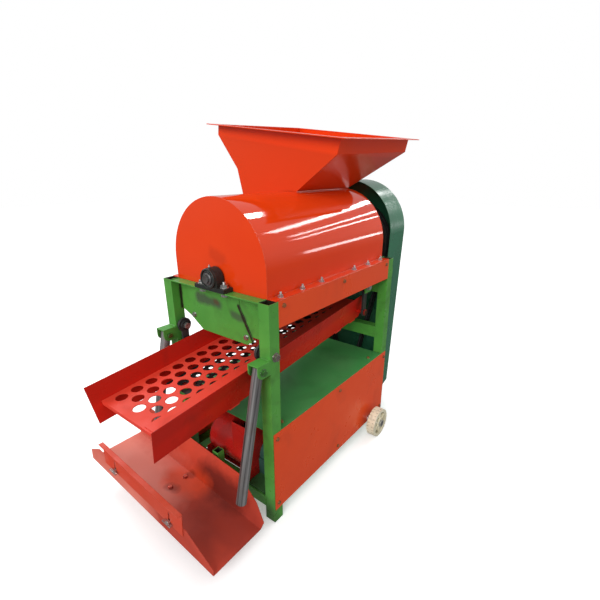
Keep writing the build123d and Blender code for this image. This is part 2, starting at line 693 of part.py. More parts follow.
def guard_outline(inset):
    top = GUARD_R - inset
    waist = GUARD_WAIST - inset
    base = GUARD_BASE - inset
    shape = disc(top, 0, GUARD_ARC_Z) & rect((-top, top), (GUARD_ARC_Z, GUARD_ARC_Z + top))
    return shape + outline((-top, GUARD_ARC_Z), (-waist, GUARD_WAIST_Z), (-base, GUARD_BASE_Z + inset),
                           (base, GUARD_BASE_Z + inset), (waist, GUARD_WAIST_Z), (top, GUARD_ARC_Z))


def guard_side(z):
    """Outer half width of the guard at a height on its straight side."""
    share = (z - GUARD_WAIST_Z) / (GUARD_ARC_Z - GUARD_WAIST_Z)
    return GUARD_WAIST + share * (GUARD_R - GUARD_WAIST)


def make_guard():
    front, back = GUARD_Y
    guard = along_y(guard_outline(0) - guard_outline(SHEET), (front, back - SHEET))
    guard += along_y(guard_outline(0), (back - SHEET, back))
    keep("belt_guard", guard)
    tabs = []
    for z in (GUARD_TAB_LOW, LEG_H - GUARD_TAB_DEPTH):
        low = guard_side(z)
        high = guard_side(z + GUARD_TAB)
        plate = outline((low, z), (HALF, z), (HALF, z + GUARD_TAB), (high, z + GUARD_TAB))
        lip = outline((low, z), (low + GUARD_TAB_T, z), (high + GUARD_TAB_T, z + GUARD_TAB),
                      (high, z + GUARD_TAB))
        tab = along_y(plate, (FRAME_L, FRAME_L + GUARD_TAB_T))
        tab += along_y(lip, (FRAME_L, front + GUARD_TAB_LAP))
        tabs += both(tab)
    keep("guard_brackets", *tabs)


def make_motor():
    front, back = MOTOR_Y
    body = rod("y", MOTOR_R, MOTOR_Y, (0, MOTOR_Z))
    fin = block((-MOTOR_FIN_T / 2, MOTOR_FIN_T / 2), (front + MOTOR_FIN, back - MOTOR_FIN),
                (MOTOR_R - MOTOR_FIN_T, MOTOR_R + MOTOR_FIN))
    for i in range(MOTOR_FINS):
        body += Pos(0, 0, MOTOR_Z) * Rot(0, (i + 1 / 2) * 360 / MOTOR_FINS, 0) * fin
    wide, deep, high = MOTOR_FOOT
    for y in MOTOR_BEAM_YS:
        middle = y + TUBE / 2
        foot = rect((-wide / 2, wide / 2), (BASE_TOP, BASE_TOP + high))
        foot += rect((-MOTOR_R, MOTOR_R), (BASE_TOP, MOTOR_Z))
        body += along_y(foot, (middle - deep / 2, middle + deep / 2))
    bore = rod("y", MOTOR_SHAFT_R + RUN_CLEAR, (front - COWL_DEPTH, back), (0, MOTOR_Z))
    keep("main_motor", body - bore)
    cowl = rod("y", MOTOR_R + SHEET, (front - COWL_DEPTH, front + COWL_LAP), (0, MOTOR_Z))
    cowl -= rod("y", MOTOR_R, (front - COWL_DEPTH + SHEET, front + COWL_LAP), (0, MOTOR_Z))
    slot_w, slot_l = COWL_SLOT
    for i in range(COWL_SLOTS):
        slot = block((-slot_w / 2, slot_w / 2), (front - COWL_DEPTH, front - COWL_DEPTH + SHEET),
                     (MOTOR_R / 2, MOTOR_R / 2 + slot_l))
        cowl -= Pos(0, 0, MOTOR_Z) * Rot(0, i * 360 / COWL_SLOTS, 0) * slot
    keep("motor_fan_cowl", cowl)
    high, deep, wide = TERMINAL_BOX
    seat = MOTOR_Z + MOTOR_R + MOTOR_FIN
    middle = (front + back) / 2
    keep("motor_terminal_box",
         block((-wide / 2, wide / 2), (middle - deep / 2, middle + deep / 2), (seat, seat + high)))
    keep("motor_shaft", rod("y", MOTOR_SHAFT_R, (front, PULLEY_END), (0, MOTOR_Z)))
    pulley = rod("y", MOTOR_PULLEY_R, (PULLEY_Y, PULLEY_END), (0, MOTOR_Z))
    pulley -= rod("y", MOTOR_SHAFT_R, (PULLEY_Y, PULLEY_END), (0, MOTOR_Z))
    for cut in groove_cuts(MOTOR_PULLEY_R, 0, MOTOR_Z):
        pulley -= cut
    keep("motor_pulley", pulley)


def hopper_section(level, inset):
    """Tilted rectangle of the hopper at a level, drawn in by the sheet on all four sides."""
    left, right, length, height, fall, rise = level
    front = HOPPER_Y + inset
    back = HOPPER_Y + length - inset
    corners = [(left + inset, front), (right - inset, front), (right - inset, back), (left + inset, back)]
    points = [(x, y, DRUM_TOP + height - fall * x + rise * (y - HOPPER_Y)) for x, y in corners]
    return Face(Wire.make_polygon(points))


def make_hopper():
    levels = (COLLAR, THROAT, BAND, RIM)
    shell = loft([hopper_section(level, 0) for level in levels], ruled=True)
    shell -= loft([hopper_section(level, SHEET) for level in levels], ruled=True)
    flange = extrude(hopper_section(RIM, -RIM_FLANGE), amount=RIM_T, dir=(0, 0, -1))
    flange -= extrude(hopper_section(RIM, SHEET), amount=RIM_T, dir=(0, 0, -1))
    shell += flange
    keep("feed_hopper", shell - along_y(arch(DRUM_R), (0, FRAME_L)))


def wall_x(w):
    """Inner face of a sieve wall at a height over the bed."""
    return SIEVE_HALF + WALL_LEAN * w


def sieve_section(low, high):
    """Cross-section between the two sieve walls from one height to another."""
    return outline((-wall_x(low), low), (wall_x(low), low), (wall_x(high), high), (-wall_x(high), high))


def sieve_place():
    return Pos(0, SIEVE_FRONT, SIEVE_FRONT_Z) * Rot(SIEVE_ANGLE, 0, 0)


def stud(y, z):
    """Hanger pin on the right wall, cut to the wall's outer face."""
    foot = z - HANGER_L
    end = HANGER_X + HANGER_T + STUD_GAP
    pin = rod("x", STUD_R, (0, end), (y, foot))
    pin += rod("x", STUD_CAP_R, (end, end + STUD_CAP_T), (y, foot))
    return pin


def make_sieve():
    place = sieve_place()
    bed = along_y(sieve_section(-SHEET, 0), (0, SIEVE_L))
    bed += along_y(sieve_section(-BED_LIP, -SHEET), (0, SHEET))
    holes = []
    columns = int((SIEVE_L - HOLE_FIRST - HOLE_MARGIN) / HOLE_PITCH)
    rows = 1 + int(2 * (SIEVE_HALF - HOLE_R - HOLE_EDGE) / ROW_PITCH)
    for row in range(rows):
        x = (row - (rows - 1) / 2) * ROW_PITCH
        shift = HOLE_FIRST + (row % 2) * HOLE_PITCH / 2
        holes += [Pos(x, shift + i * HOLE_PITCH) * Circle(HOLE_R) for i in range(columns)]
    bed -= along_z(Sketch() + holes, (-SHEET, 0))
    keep("sieve_bed", place * bed)
    right = SIEVE_HALF - STRIP_EDGE
    strip = block((right - STRIP_W, right), (STRIP_FRONT, SIEVE_L), (0, SKIN))
    keep("sieve_cover_strip", place * strip)
    drop = LOWER_DECK_DROP
    deck = along_y(sieve_section(-drop - SHEET, -drop), (LOWER_DECK_FRONT, SIEVE_L))
    fine = []
    count = int((SIEVE_L - LOWER_DECK_FRONT - FINE_PITCH) / FINE_PITCH)
    rows = 1 + int(2 * (wall_x(-drop) - FINE_R - HOLE_EDGE) / FINE_PITCH)
    for row in range(rows):
        x = (row - (rows - 1) / 2) * FINE_PITCH
        start = LOWER_DECK_FRONT + FINE_FIRST + (row % 2) * FINE_PITCH / 2
        fine += [Pos(x, start + i * FINE_PITCH) * Circle(FINE_R) for i in range(count)]
    deck -= along_z(Sketch() + fine, (-drop - SHEET, -drop))
    keep("sieve_lower_deck", place * deck)
    bars = []
    for u in (CROSS_BAR_FIRST, SHAKER_U - CROSS_BAR_GAP / 2, SHAKER_U + CROSS_BAR_GAP / 2):
        half = wall_x(-WALL_DOWN) + SHEET
        wide, thick = CROSS_BAR
        bar = block((-half, half), (u - wide / 2, u + wide / 2), (-WALL_DOWN - thick, -WALL_DOWN))
        bars.append(place * bar)
    keep("sieve_cross_bars", *bars)
    face = outline((wall_x(-WALL_DOWN), -WALL_DOWN), (wall_x(-WALL_DOWN) + SHEET, -WALL_DOWN),
                   (wall_x(WALL_UP) + SHEET, WALL_UP), (wall_x(WALL_UP), WALL_UP))
    wall = along_y(face, (-WALL_NOSE, SIEVE_L))
    rear = outline((SIEVE_L - WALL_REAR_CUT, -WALL_DOWN), (SIEVE_L, -WALL_DOWN), (SIEVE_L, WALL_UP))
    wall -= along_x(rear, (0, FAR))
    inside = outline((-FAR, -FAR), (wall_x(-FAR) + SHEET, -FAR), (wall_x(FAR) + SHEET, FAR), (-FAR, FAR))
    inner = place * along_y(inside, (-WALL_NOSE, SIEVE_L))
    wall = place * wall
    for y, z in PIVOTS:
        wall += stud(y, z) - inner
    keep("sieve_walls", *both(wall))


def hanger(y, z):
    """Right-hand hanger: an eye on the bush above and a loose eye on the sieve's pin below."""
    foot = z - HANGER_L
    arm = rect((y - HANGER_W / 2, y + HANGER_W / 2), (foot, z))
    arm += disc(HANGER_EYE_R, y, z) + disc(HANGER_FOOT_R, y, foot)
    arm -= disc(BUSH_R + RUN_CLEAR, y, z)
    arm -= disc(STUD_R + STUD_PLAY, y, foot)
    return along_x(arm, (HANGER_X, HANGER_X + HANGER_T))


def make_hangers():
    bushes = []
    for name, (y, z) in zip(("front", "rear"), PIVOTS):
        right = hanger(y, z)
        keep("hanger_" + name + "_right", right)
        keep("hanger_" + name + "_left", flip(right))
        end = INNER if name == "front" else INNER - PIVOT_TAB_T
        span = (end - BUSH_L, end)
        bush = rod("x", BUSH_R, span, (y, z)) - rod("x", M12_R, span, (y, z))
        bushes += both(bush)
    keep("hanger_bushes", *bushes)


def make_shaker():
    """Vibration motor hung under the sieve, its shaft across the machine."""
    place = sieve_place()
    low, high = SHAKER_X
    seat = -WALL_DOWN - CROSS_BAR[1]
    axis = (SHAKER_U, seat - SHAKER_FOOT_T - SHAKER_R)
    foot_u = (SHAKER_U - SHAKER_FOOT_W / 2, SHAKER_U + SHAKER_FOOT_W / 2)
    body = block((low + SHAKER_CAP, high - SHAKER_CAP), foot_u, (seat - SHAKER_FOOT_T, seat))
    body += block((low + SHAKER_CAP, high - SHAKER_CAP), (SHAKER_U - SHAKER_R / 2, SHAKER_U + SHAKER_R / 2),
                  (axis[1], seat))
    body += rod("x", SHAKER_R, SHAKER_X, axis)
    for end in ((low + SHAKER_CAP_T, low + SHAKER_CAP), (high - SHAKER_CAP, high - SHAKER_CAP_T)):
        body -= rod("x", SHAKER_R - SHAKER_CAP_T, end, axis)
    body -= rod("x", SHAKER_SHAFT_R + RUN_CLEAR, (low + SHAKER_CAP_T, high - SHAKER_CAP_T), axis)
    keep("shaker_body", place * body)
    inner = 2 * SHAKER_CAP_T
    hub = (place * Pos(0, *axis)).position
    shaft = rod("x", SHAKER_SHAFT_R, (low + inner, high - inner), (hub.Y, hub.Z))
    half = rect((hub.Y - WEIGHT_R, hub.Y + WEIGHT_R), (hub.Z - WEIGHT_R, hub.Z))
    weight = disc(WEIGHT_R, hub.Y, hub.Z) & half
    for start in (low + inner, high - inner - WEIGHT_T):
        shaft += along_x(weight, (start, start + WEIGHT_T))
    keep("shaker_shaft", shaft)


def make_blower():
    low, high = BLOWER_X
    at = (BLOWER_Y, BLOWER_Z)
    shell = (low + SHEET, high - SHEET)
    front, back = DUCT_Y
    outer = rod("x", BLOWER_R, shell, at) + block((DUCT_X, high - SHEET), DUCT_Y, (BLOWER_Z, DUCT_TOP))
    inner = rod("x", BLOWER_R - SHEET, shell, at)
    inner += block((DUCT_X + SHEET, high - SHEET), (front + SHEET, back - SHEET), (BLOWER_Z, DUCT_TOP))
    foot_front, foot_back, foot_rise = BLOWER_FOOT
    end = disc(BLOWER_R + SHEET, *at) + rect((foot_front, foot_back), (BASE_TOP, BASE_TOP + foot_rise))
    end += rect(DUCT_Y, (BLOWER_Z, DUCT_TOP))
    sole = rect((foot_front, foot_back), (BASE_TOP, DUCT_TOP))
    end &= sole + rect((foot_front + TUBE, foot_back - TUBE), (0, DUCT_TOP))
    left = disc(BLOWER_R + SHEET, *at) + rect((foot_front, foot_back), (BASE_TOP, BASE_TOP + foot_rise))
    left &= sole + rect((foot_front + TUBE, foot_back - TUBE), (0, DUCT_TOP))
    casing = outer - inner
    casing += block(shell, BLOWER_SOLE, (BASE_TOP, BASE_TOP + SHEET))
    casing += along_x(left - disc(INLET_R, *at), (low, low + SHEET))
    casing += along_x(end - disc(IMPELLER_HUB_R, *at), (high - SHEET, high))
    mouth = outline((front, DUCT_TOP - DUCT_SLANT), (back, DUCT_TOP), (front, DUCT_TOP))
    keep("blower_casing", casing - along_x(mouth, (low, high)))
    wheel = (low + IMPELLER_GAP, high - IMPELLER_GAP)
    impeller = rod("x", IMPELLER_HUB_R - SHEET, wheel, at)
    impeller += rod("x", IMPELLER_R, (wheel[1] - SHEET, wheel[1]), at)
    blade = block(wheel, (-BLADE_T / 2, BLADE_T / 2), (0, IMPELLER_R))
    for i in range(BLADES):
        impeller += Pos(0, *at) * Rot(i * 360 / BLADES, 0, 0) * blade
    shaft_end = high + BLOWER_MOTOR_L / 2
    impeller += rod("x", BLOWER_SHAFT_R, (wheel[0], shaft_end), at)
    keep("blower_impeller", impeller)
    motor = rod("x", BLOWER_MOTOR_R, (high, high + BLOWER_MOTOR_L), at)
    base_front, base_back, base_t = BLOWER_MOTOR_BASE
    motor += block((high, high + BLOWER_MOTOR_L), (base_front, base_back), (BASE_TOP, BASE_TOP + base_t))
    half = BLOWER_MOTOR_FOOT / 2
    motor += block((high, high + BLOWER_MOTOR_L), (BLOWER_Y - half, BLOWER_Y + half),
                   (BASE_TOP, BLOWER_Z - base_t))
    motor -= rod("x", BLOWER_SHAFT_R + RUN_CLEAR, (high, shaft_end + SHEET), at)
    keep("blower_motor", motor)


def chute_place():
    return Pos(CHUTE_OUT[0], 0, CHUTE_OUT[1]) * Rot(0, CHUTE_ANGLE, 0)


def back_wall():
    """Back wall of the chute, leaning away from the trough, with its outlet end cut down."""
    low = CHUTE_Y[1]
    rise = sqrt(BACK_RISE ** 2 + BACK_LEAN ** 2)
    points = [(-CHUTE_L, 0)] + [(s, share * rise) for s, share in BACK_CUT] + [(-CHUTE_L, rise)]
    lean = degrees(atan(BACK_LEAN / BACK_RISE))
    plane = Plane(origin=(0, low, 0), x_dir=(1, 0, 0), z_dir=(0, -cos(radians(lean)), sin(radians(lean))))
    return extrude(plane * outline(*points), amount=-SHEET)


def arm_bolt_places():
    place = chute_place()
    up = (sin(radians(CHUTE_ANGLE)), 0, cos(radians(CHUTE_ANGLE)))
    return [(tuple((place * Pos(ARM_S, y, 0)).position), up) for y in ARM_BOLT_YS]


def make_chute():
    place = chute_place()
    front, back = CHUTE_Y
    end_h, main_h, out_h = FRONT_WALL
    left_run, right_run = FRONT_WALL_RUN
    heel = SHEET * BACK_RISE / sqrt(BACK_RISE ** 2 + BACK_LEAN ** 2)
    trough = block((-CHUTE_L, 0), (front, back + heel), (-SHEET, 0))
    side = outline((-CHUTE_L, -SHEET), (0, -SHEET), (0, out_h), (-right_run, main_h),
                   (-CHUTE_L + left_run, main_h), (-CHUTE_L, end_h))
    trough += along_y(side, (front - SHEET, front))
    trough += back_wall()
    for s in GATE_STUD_SS:
        trough -= rod("y", GATE_STUD_R, (front - SHEET, front), (s, GATE_STUD_N))
    keep("chute_trough", drill(place * trough, arm_bolt_places(), M8_R))
    face = front - SHEET - GATE_CLEAR
    low, high = GATE_N
    gate = block(GATE_S, (face - GATE_T, face), GATE_N)
    gate += block(GATE_S, (face - GATE_FLANGE, face), (high - GATE_T, high))
    slot_r = GATE_STUD_R + SLOT_CLEAR
    for s in GATE_STUD_SS:
        slot = rect((s - slot_r, s + slot_r), (GATE_STUD_N, GATE_STUD_N + GATE_DROP))
        slot += disc(slot_r, s, GATE_STUD_N) + disc(slot_r, s, GATE_STUD_N + GATE_DROP)
        gate -= along_y(slot, (face - GATE_T, face))
    keep("chute_gate", place * gate)
    outside = face - GATE_T - GATE_CLEAR
    wings = []
    for s in GATE_STUD_SS:
        nut = rod("y", GATE_STUD_R, (outside - WING_R, front), (s, GATE_STUD_N))
        nut += rod("y", WING_R, (outside - WING_R, outside), (s, GATE_STUD_N))
        nut += rod("y", WING_R, (front, front + WING_T), (s, GATE_STUD_N))
        wing = block((s - WING_SPAN, s + WING_SPAN), (outside - WING_R - WING_T, outside - WING_T),
                     (GATE_STUD_N - WING_T / 2, GATE_STUD_N + WING_T / 2))
        wings.append(place * (nut + wing))
    keep("wing_nuts", *wings)
    arm_x = (ARM_S - ARM_W / 2, ARM_S + ARM_W / 2)
    arm = block(arm_x, (-ARM_REACH, 0), (-SHEET - ANGLE_T, -SHEET))
    arm += block((arm_x[0], arm_x[0] + ANGLE_T), (-ARM_REACH, 0), (-SHEET - ARM_LEG, -SHEET))
    arm = drill(place * arm, arm_bolt_places(), M8_R)
    post_x = (POST_X - POST / 2, POST_X + POST / 2)
    bore_x = (post_x[0] + TUBE_WALL, post_x[1] - TUBE_WALL)
    post_z = (BASE_RAIL_Z, POST_TOP)
    post = block(post_x, (-POST, 0), post_z) - block(bore_x, (TUBE_WALL - POST, -TUBE_WALL), post_z)
    keep("chute_supports", arm, post)


def make_handles():
    x = (LEG_X - HANDLE_R - HANDLE_SIDE, LEG_X + HANDLE_R + HANDLE_SIDE)
    top = HANDLE_Z + CLEVIS_TOP
    nose = HANDLE_Y - CLEVIS_NOSE
    low = HANDLE_Z - CLEVIS_DROP
    shell = (x[0] - CLEVIS_T, x[1] + CLEVIS_T)
    clevis = block(shell, (-CLEVIS_T, 0), (low, top))
    clevis += block(shell, (nose, 0), (top - CLEVIS_T, top))
    cheek = rect((HANDLE_Y, 0), (low, top)) + disc(CLEVIS_NOSE, HANDLE_Y, HANDLE_Z)
    cheek += rect((nose, 0), (HANDLE_Z, top))
    cheek -= disc(HANDLE_PIN_R + HOLE_SLACK, HANDLE_Y, HANDLE_Z)
    for span in ((shell[0], x[0]), (x[1], shell[1])):
        clevis += along_x(cheek, span)
    keep("handle_brackets", *both(clevis))
    bar = rod("z", HANDLE_R, (-HANDLE_L, HANDLE_HEAD), (0, 0))
    bar -= rod("z", HANDLE_R - HANDLE_WALL, (-HANDLE_L, HANDLE_HEAD), (0, 0))
    bar -= rod("x", HANDLE_PIN_R + RUN_CLEAR, (-HANDLE_R, HANDLE_R), (0, 0))
    bar = Pos(LEG_X, HANDLE_Y, HANDLE_Z) * Rot(-HANDLE_LEAN, 0, 0) * bar
    keep("handle_right", bar)
    keep("handle_left", flip(bar))


def make_wheels():
    out = WHEEL_X + WHEEL_W
    end = out + SIDE_PLAY + AXLE_END
    at = (WHEEL_Y, WHEEL_R)
    keep("wheel_axle", rod("x", AXLE_R, (-end, end), at))
    face = disc(WHEEL_R, *at) - disc(WHEEL_R - WHEEL_RIM, *at)
    hub = disc(WHEEL_HUB_R, *at)
    wheel = along_x(face, (WHEEL_X, out)) + along_x(hub, (WHEEL_X, out))
    middle = WHEEL_X + WHEEL_W / 2
    wheel += rod("x", WHEEL_R - WHEEL_RIM, (middle - WHEEL_WEB / 2, middle + WHEEL_WEB / 2), at)
    spoke = block((WHEEL_X + TREAD, out - TREAD), (-SPOKE_T / 2, SPOKE_T / 2),
                  (WHEEL_HUB_R - TREAD, WHEEL_R - WHEEL_RIM + TREAD))
    for i in range(WHEEL_SPOKES):
        wheel += Pos(0, *at) * Rot(i * 360 / WHEEL_SPOKES, 0, 0) * spoke
    groove = block((WHEEL_X, WHEEL_X + WHEEL_W / 3), (-TREAD, TREAD), (WHEEL_R - TREAD, WHEEL_R + TREAD))
    for i in range(TREAD_GROOVES):
        turn = Pos(0, *at) * Rot((i + 1 / 2) * 360 / TREAD_GROOVES, 0, 0)
        wheel -= turn * groove
        wheel -= turn * Pos(WHEEL_W * 2 / 3, 0, 0) * groove
    wheel -= rod("x", AXLE_R + AXLE_RUN, (WHEEL_X, out), at)
    keep("wheel_right", wheel)
    keep("wheel_left", flip(wheel))


def make_fasteners():
    bolts = []
    for at, direction in flange_bolt_places():
        bolts.append(fastener(at, direction, M8_R, SHEET + ANGLE_T))
    for at, direction in bearing_bolt_places():
        bolts.append(fastener(at, direction, M12_R, BEARING_BASE[2] + ANGLE_T))
    for at, direction in arm_bolt_places():
        bolts.append(fastener(at, direction, M8_R, SHEET + ANGLE_T))
    for at, direction in panel_bolt_places():
        bolts.append(fastener(at, direction, M8_R, SKIN))
    for side in (1, -1):
        bolts.append(fastener((side * HALF, PIVOT_Y, PIVOT_Z), (side, 0, 0), M12_R, TUBE + BUSH_L))
        bolts.append(fastener((side * INNER, REAR_PIVOT_Y, REAR_PIVOT_Z), (side, 0, 0), M12_R,
                              PIVOT_TAB_T + BUSH_L))
        cheek = LEG_X + HANDLE_R + HANDLE_SIDE + CLEVIS_T
        grip = 2 * (HANDLE_R + HANDLE_SIDE + CLEVIS_T)
        bolts.append(fastener((side * cheek, HANDLE_Y, HANDLE_Z), (side, 0, 0), HANDLE_PIN_R, grip))
    keep("frame_bolts", *bolts)
    screws = [fastener(at, direction, M6_R, SHEET + ANGLE_T, nut=False)
              for at, direction in strip_screw_places()]
    screws += [fastener(at, direction, M6_R, SKIN + TUBE_WALL, nut=False)
               for at, direction in panel_screw_places()]
    screws += [fastener(at, direction, M6_R, SHEET + ANGLE_T, nut=False)
               for at, direction in deck_bolt_places()]
    keep("panel_screws", *screws)
    spacer = (HALF + SKIN, WHEEL_X - SIDE_PLAY)
    at = (WHEEL_Y, WHEEL_R)
    sleeve = rod("x", SPACER_R, spacer, at) - rod("x", AXLE_R, spacer, at)
    out = WHEEL_X + WHEEL_W + SIDE_PLAY
    cap = (out, out + AXLE_END)
    nut = rod("x", SPACER_R, cap, at) - rod("x", AXLE_R, cap, at)
    keep("axle_collars", *both(sleeve), *both(nut))


def write_nodes():
    """Move every piece to the bottom centre of the whole machine and write one file for each node."""
    boxes = [solid.bounding_box() for solids in nodes.values() for solid in solids]
    low = [min(box.min.X for box in boxes), min(box.min.Y for box in boxes), min(box.min.Z for box in boxes)]
    high = [max(box.max.X for box in boxes), max(box.max.Y for box in boxes)]
    shift = Pos(-(low[0] + high[0]) / 2, -(low[1] + high[1]) / 2, -low[2])
    os.makedirs("parts", exist_ok=True)
    for name, solids in nodes.items():
        pieces = [piece for solid in solids for piece in (shift * solid).solids()]
        shape = pieces[0] if len(pieces) == 1 else Compound(children=pieces)
        export_step(shape, os.path.join("parts", name + ".step"))
    print("moved by", shift.position)


make_frame()
make_panels()
make_drum()
make_concave()
keep("pillow_blocks", bearing(BEARING_Y), bearing(FRAME_L - BEARING_Y))
make_rotor()
make_belts()
make_guard()
make_motor()
make_hopper()
make_sieve()
make_hangers()
make_shaker()
make_blower()
make_chute()
make_handles()
make_wheels()
make_fasteners()
write_nodes()
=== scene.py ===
"""Finishes, small fittings, floor, light and camera for the chestnut sheller."""

import json
from math import cos, pi, radians, sin

import bmesh
import bpy
from mathutils import Matrix, Vector


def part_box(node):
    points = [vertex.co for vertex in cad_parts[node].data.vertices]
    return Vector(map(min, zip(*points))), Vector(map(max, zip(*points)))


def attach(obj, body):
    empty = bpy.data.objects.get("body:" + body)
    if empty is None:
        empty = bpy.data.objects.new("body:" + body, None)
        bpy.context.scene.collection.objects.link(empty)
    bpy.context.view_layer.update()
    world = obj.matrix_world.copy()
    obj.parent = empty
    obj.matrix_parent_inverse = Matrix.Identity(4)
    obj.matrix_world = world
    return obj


# Camera, in metres from the middle of the stand's front face on the floor
CAMERA_PLACE = (0.9013, -0.7273, 1.1079)
CAMERA_PITCH = 69.0
CAMERA_YAW = 37.6
CAMERA_LENS = 23.41
CAMERA_RISE = 0.0333
SENSOR = 36.0

# Floor and soft daylight: the backdrop is white, and the room that lights the part is dimmer, most of all
# from below
FLOOR_HALF = 14.0
FLOOR_DROP = 0.0005
FLOOR_PALE = (0.95, 0.95, 0.945)
FLOOR_DIM = (0.92, 0.92, 0.915)
FLOOR_GRAIN = 3.0
FLOOR_ROUGH = 0.7
FLOOR_GLOW = 0.30
BACKDROP = (1.0, 1.0, 1.0)
ROOM = (0.98, 0.99, 1.0)
ROOM_LIGHT = (0.44, 0.60)
ROOM_MIRRORED = (0.20, 0.66)
ROOM_EDGE = 0.15
SUN_FROM = (0.25, -0.90, 0.52)
SUN_POWER = 1.95
SUN_SPREAD = 40.0
DRUM_MIDDLE = (0.0, 0.38, 0.9)
SIDE_LAMP = {"place": (-1.7, 0.0, 2.0), "aim": (-0.25, -0.2, 0.15), "side": 1.0, "power": 20.0}
# Long tubes under the ceiling, given by their two ends, width and power
TUBES = {
    "tube_near": {"ends": ((1.80, 2.94, 3.0), (0.0, 4.56, 3.0)), "width": 0.22, "power": 26.0},
    "tube_far": {"ends": ((2.88, 4.28, 3.0), (1.33, 5.34, 3.0)), "width": 0.10, "power": 11.0},
    "tube_last": {"ends": ((3.72, 5.23, 3.0), (2.19, 6.32, 3.0)), "width": 0.12, "power": 12.0},
    "bay_lamp": {"ends": ((-0.10, 2.08, 3.0), (0.34, 2.08, 3.0)), "width": 0.22, "power": 8.0},
    "low_window": {"ends": ((3.50, 4.40, 0.98), (3.50, 7.25, 1.02)), "width": 0.30, "power": 26.0},
}

# Paint and metal colours, linear
ORANGE = (0.780, 0.052, 0.005)
ORANGE_DEEP = (0.730, 0.043, 0.004)
ORANGE_EDGE_SHADE = (0.300, 0.030, 0.008)
DRUM_EDGE_HIGHLIGHT = (0.950, 0.260, 0.130)
ORANGE_FOLD_SHADE = (0.640, 0.043, 0.005)
ORANGE_STAIN = (0.400, 0.024, 0.004)
PANEL = (0.790, 0.072, 0.010)
PANEL_DEEP = (0.740, 0.062, 0.008)
BED_RED = (0.780, 0.048, 0.026)
BED_DUST = (0.730, 0.058, 0.032)
WALL_RED = (0.650, 0.017, 0.008)
WALL_DEEP = (0.590, 0.016, 0.007)
WALL_SHADE_AND_WORN_EDGES = (0.520, 0.016, 0.008)
BLOWER_RED = (0.520, 0.014, 0.010)
BLOWER_DEEP = (0.360, 0.009, 0.007)
CHUTE_RED = (0.600, 0.066, 0.034)
CHUTE_DULL = (0.460, 0.048, 0.024)
CHUTE_DUST_AND_LIGHT = (0.800, 0.230, 0.170)
CHUTE_PAINTED_LIGHT = (0.820, 0.080, 0.022)
CHUTE_DIRT_AND_SHADE = (0.240, 0.028, 0.018)
CHUTE_SHADE_AND_SMUDGE = (0.150, 0.016, 0.010)
GATE_RED = (0.660, 0.045, 0.012)
GATE_DULL = (0.560, 0.060, 0.025)
GREEN = (0.092, 0.330, 0.052)
GREEN_DEEP = (0.066, 0.265, 0.038)
DECK_GREEN = (0.055, 0.265, 0.068)
DECK_DUST = (0.085, 0.275, 0.085)
GUARD_GREEN = (0.030, 0.168, 0.084)
GUARD_DEEP = (0.024, 0.138, 0.070)
MOTOR_GREEN = (0.030, 0.090, 0.070)
MOTOR_DEEP = (0.018, 0.060, 0.048)
BASE_GREEN = (0.050, 0.150, 0.045)
BASE_DEEP = (0.035, 0.110, 0.034)
CAST = (0.017, 0.024, 0.021)
CAST_DEEP = (0.008, 0.012, 0.011)
GALVANISED = (0.340, 0.330, 0.325)
GALVANISED_DARK = (0.050, 0.046, 0.048)
ZINC = (0.620, 0.620, 0.600)
ZINC_DARK = (0.380, 0.370, 0.350)
STEEL = (0.230, 0.230, 0.230)
STEEL_DARK = (0.090, 0.088, 0.085)
RUBBER = (0.012, 0.012, 0.012)
RUBBER_GREY = (0.032, 0.032, 0.032)
CREAM = (0.800, 0.740, 0.560)
CREAM_DIRTY = (0.640, 0.580, 0.410)
SOOT = (0.030, 0.018, 0.012)
RUST = (0.110, 0.045, 0.020)
CHIP = (0.300, 0.280, 0.250)
# Dark colour of dirt, and of painted shade in corners, gaps and tube bores
GRIME_AND_SHADE = (0.020, 0.016, 0.010)
SMEAR = (0.055, 0.060, 0.048)
SCREW = (0.420, 0.160, 0.060)
SCREW_DARK = (0.220, 0.090, 0.040)
IRON = (0.036, 0.037, 0.037)
IRON_DARK = (0.015, 0.015, 0.015)

# Right and left of the stand, and how far its legs' marks are from the middle
SIDES = (1, -1)
LEG_X = 0.214
# Lengthwise streaks of the handle tubes, whose light and dark colour stripes are painted reflections: their
# lean, and how long they are against their width
HANDLE_STREAK = (13.2, 0.02)
# Marks on the paint, each along a line, which are stains and dirt, painted light and painted shade: colour,
# strength, reach, first end, last end.
# Their places are from the middle of the stand's front face on the floor, like all (x, y, z) places below.
FRAME_MARKS = (
    (SMEAR, 0.80, 0.024, (-0.100, 0.0345, 0.722), (-0.010, 0.0345, 0.716)),
    (SMEAR, 0.70, 0.017, (0.056, 0.0345, 0.696), (0.100, 0.0345, 0.690)),
    (RUST, 0.60, 0.013, (-0.022, 0.0345, 0.722), (-0.014, 0.0345, 0.720)),
    # Painted shadow: dark lines along the front panel's diagonal seam and along its left edge beside the leg
    (GRIME_AND_SHADE, 1.00, 0.008, (0.0815, 0.036, 0.728), (0.1430, 0.036, 0.612)),
    (GRIME_AND_SHADE, 0.95, 0.009, (-0.196, 0.0345, 0.760), (-0.196, 0.0345, 0.670)),
    # Darker at the feet of the legs
    *((GRIME_AND_SHADE, 0.60, 0.050, (side * LEG_X, -0.010, 0.000), (side * LEG_X, -0.010, 0.020)) for side in SIDES),
)
DRUM_MARKS = (
    (ORANGE_STAIN, 0.30, 0.026, (-0.015, 0.034, 0.876), (0.025, 0.034, 0.866)),
)
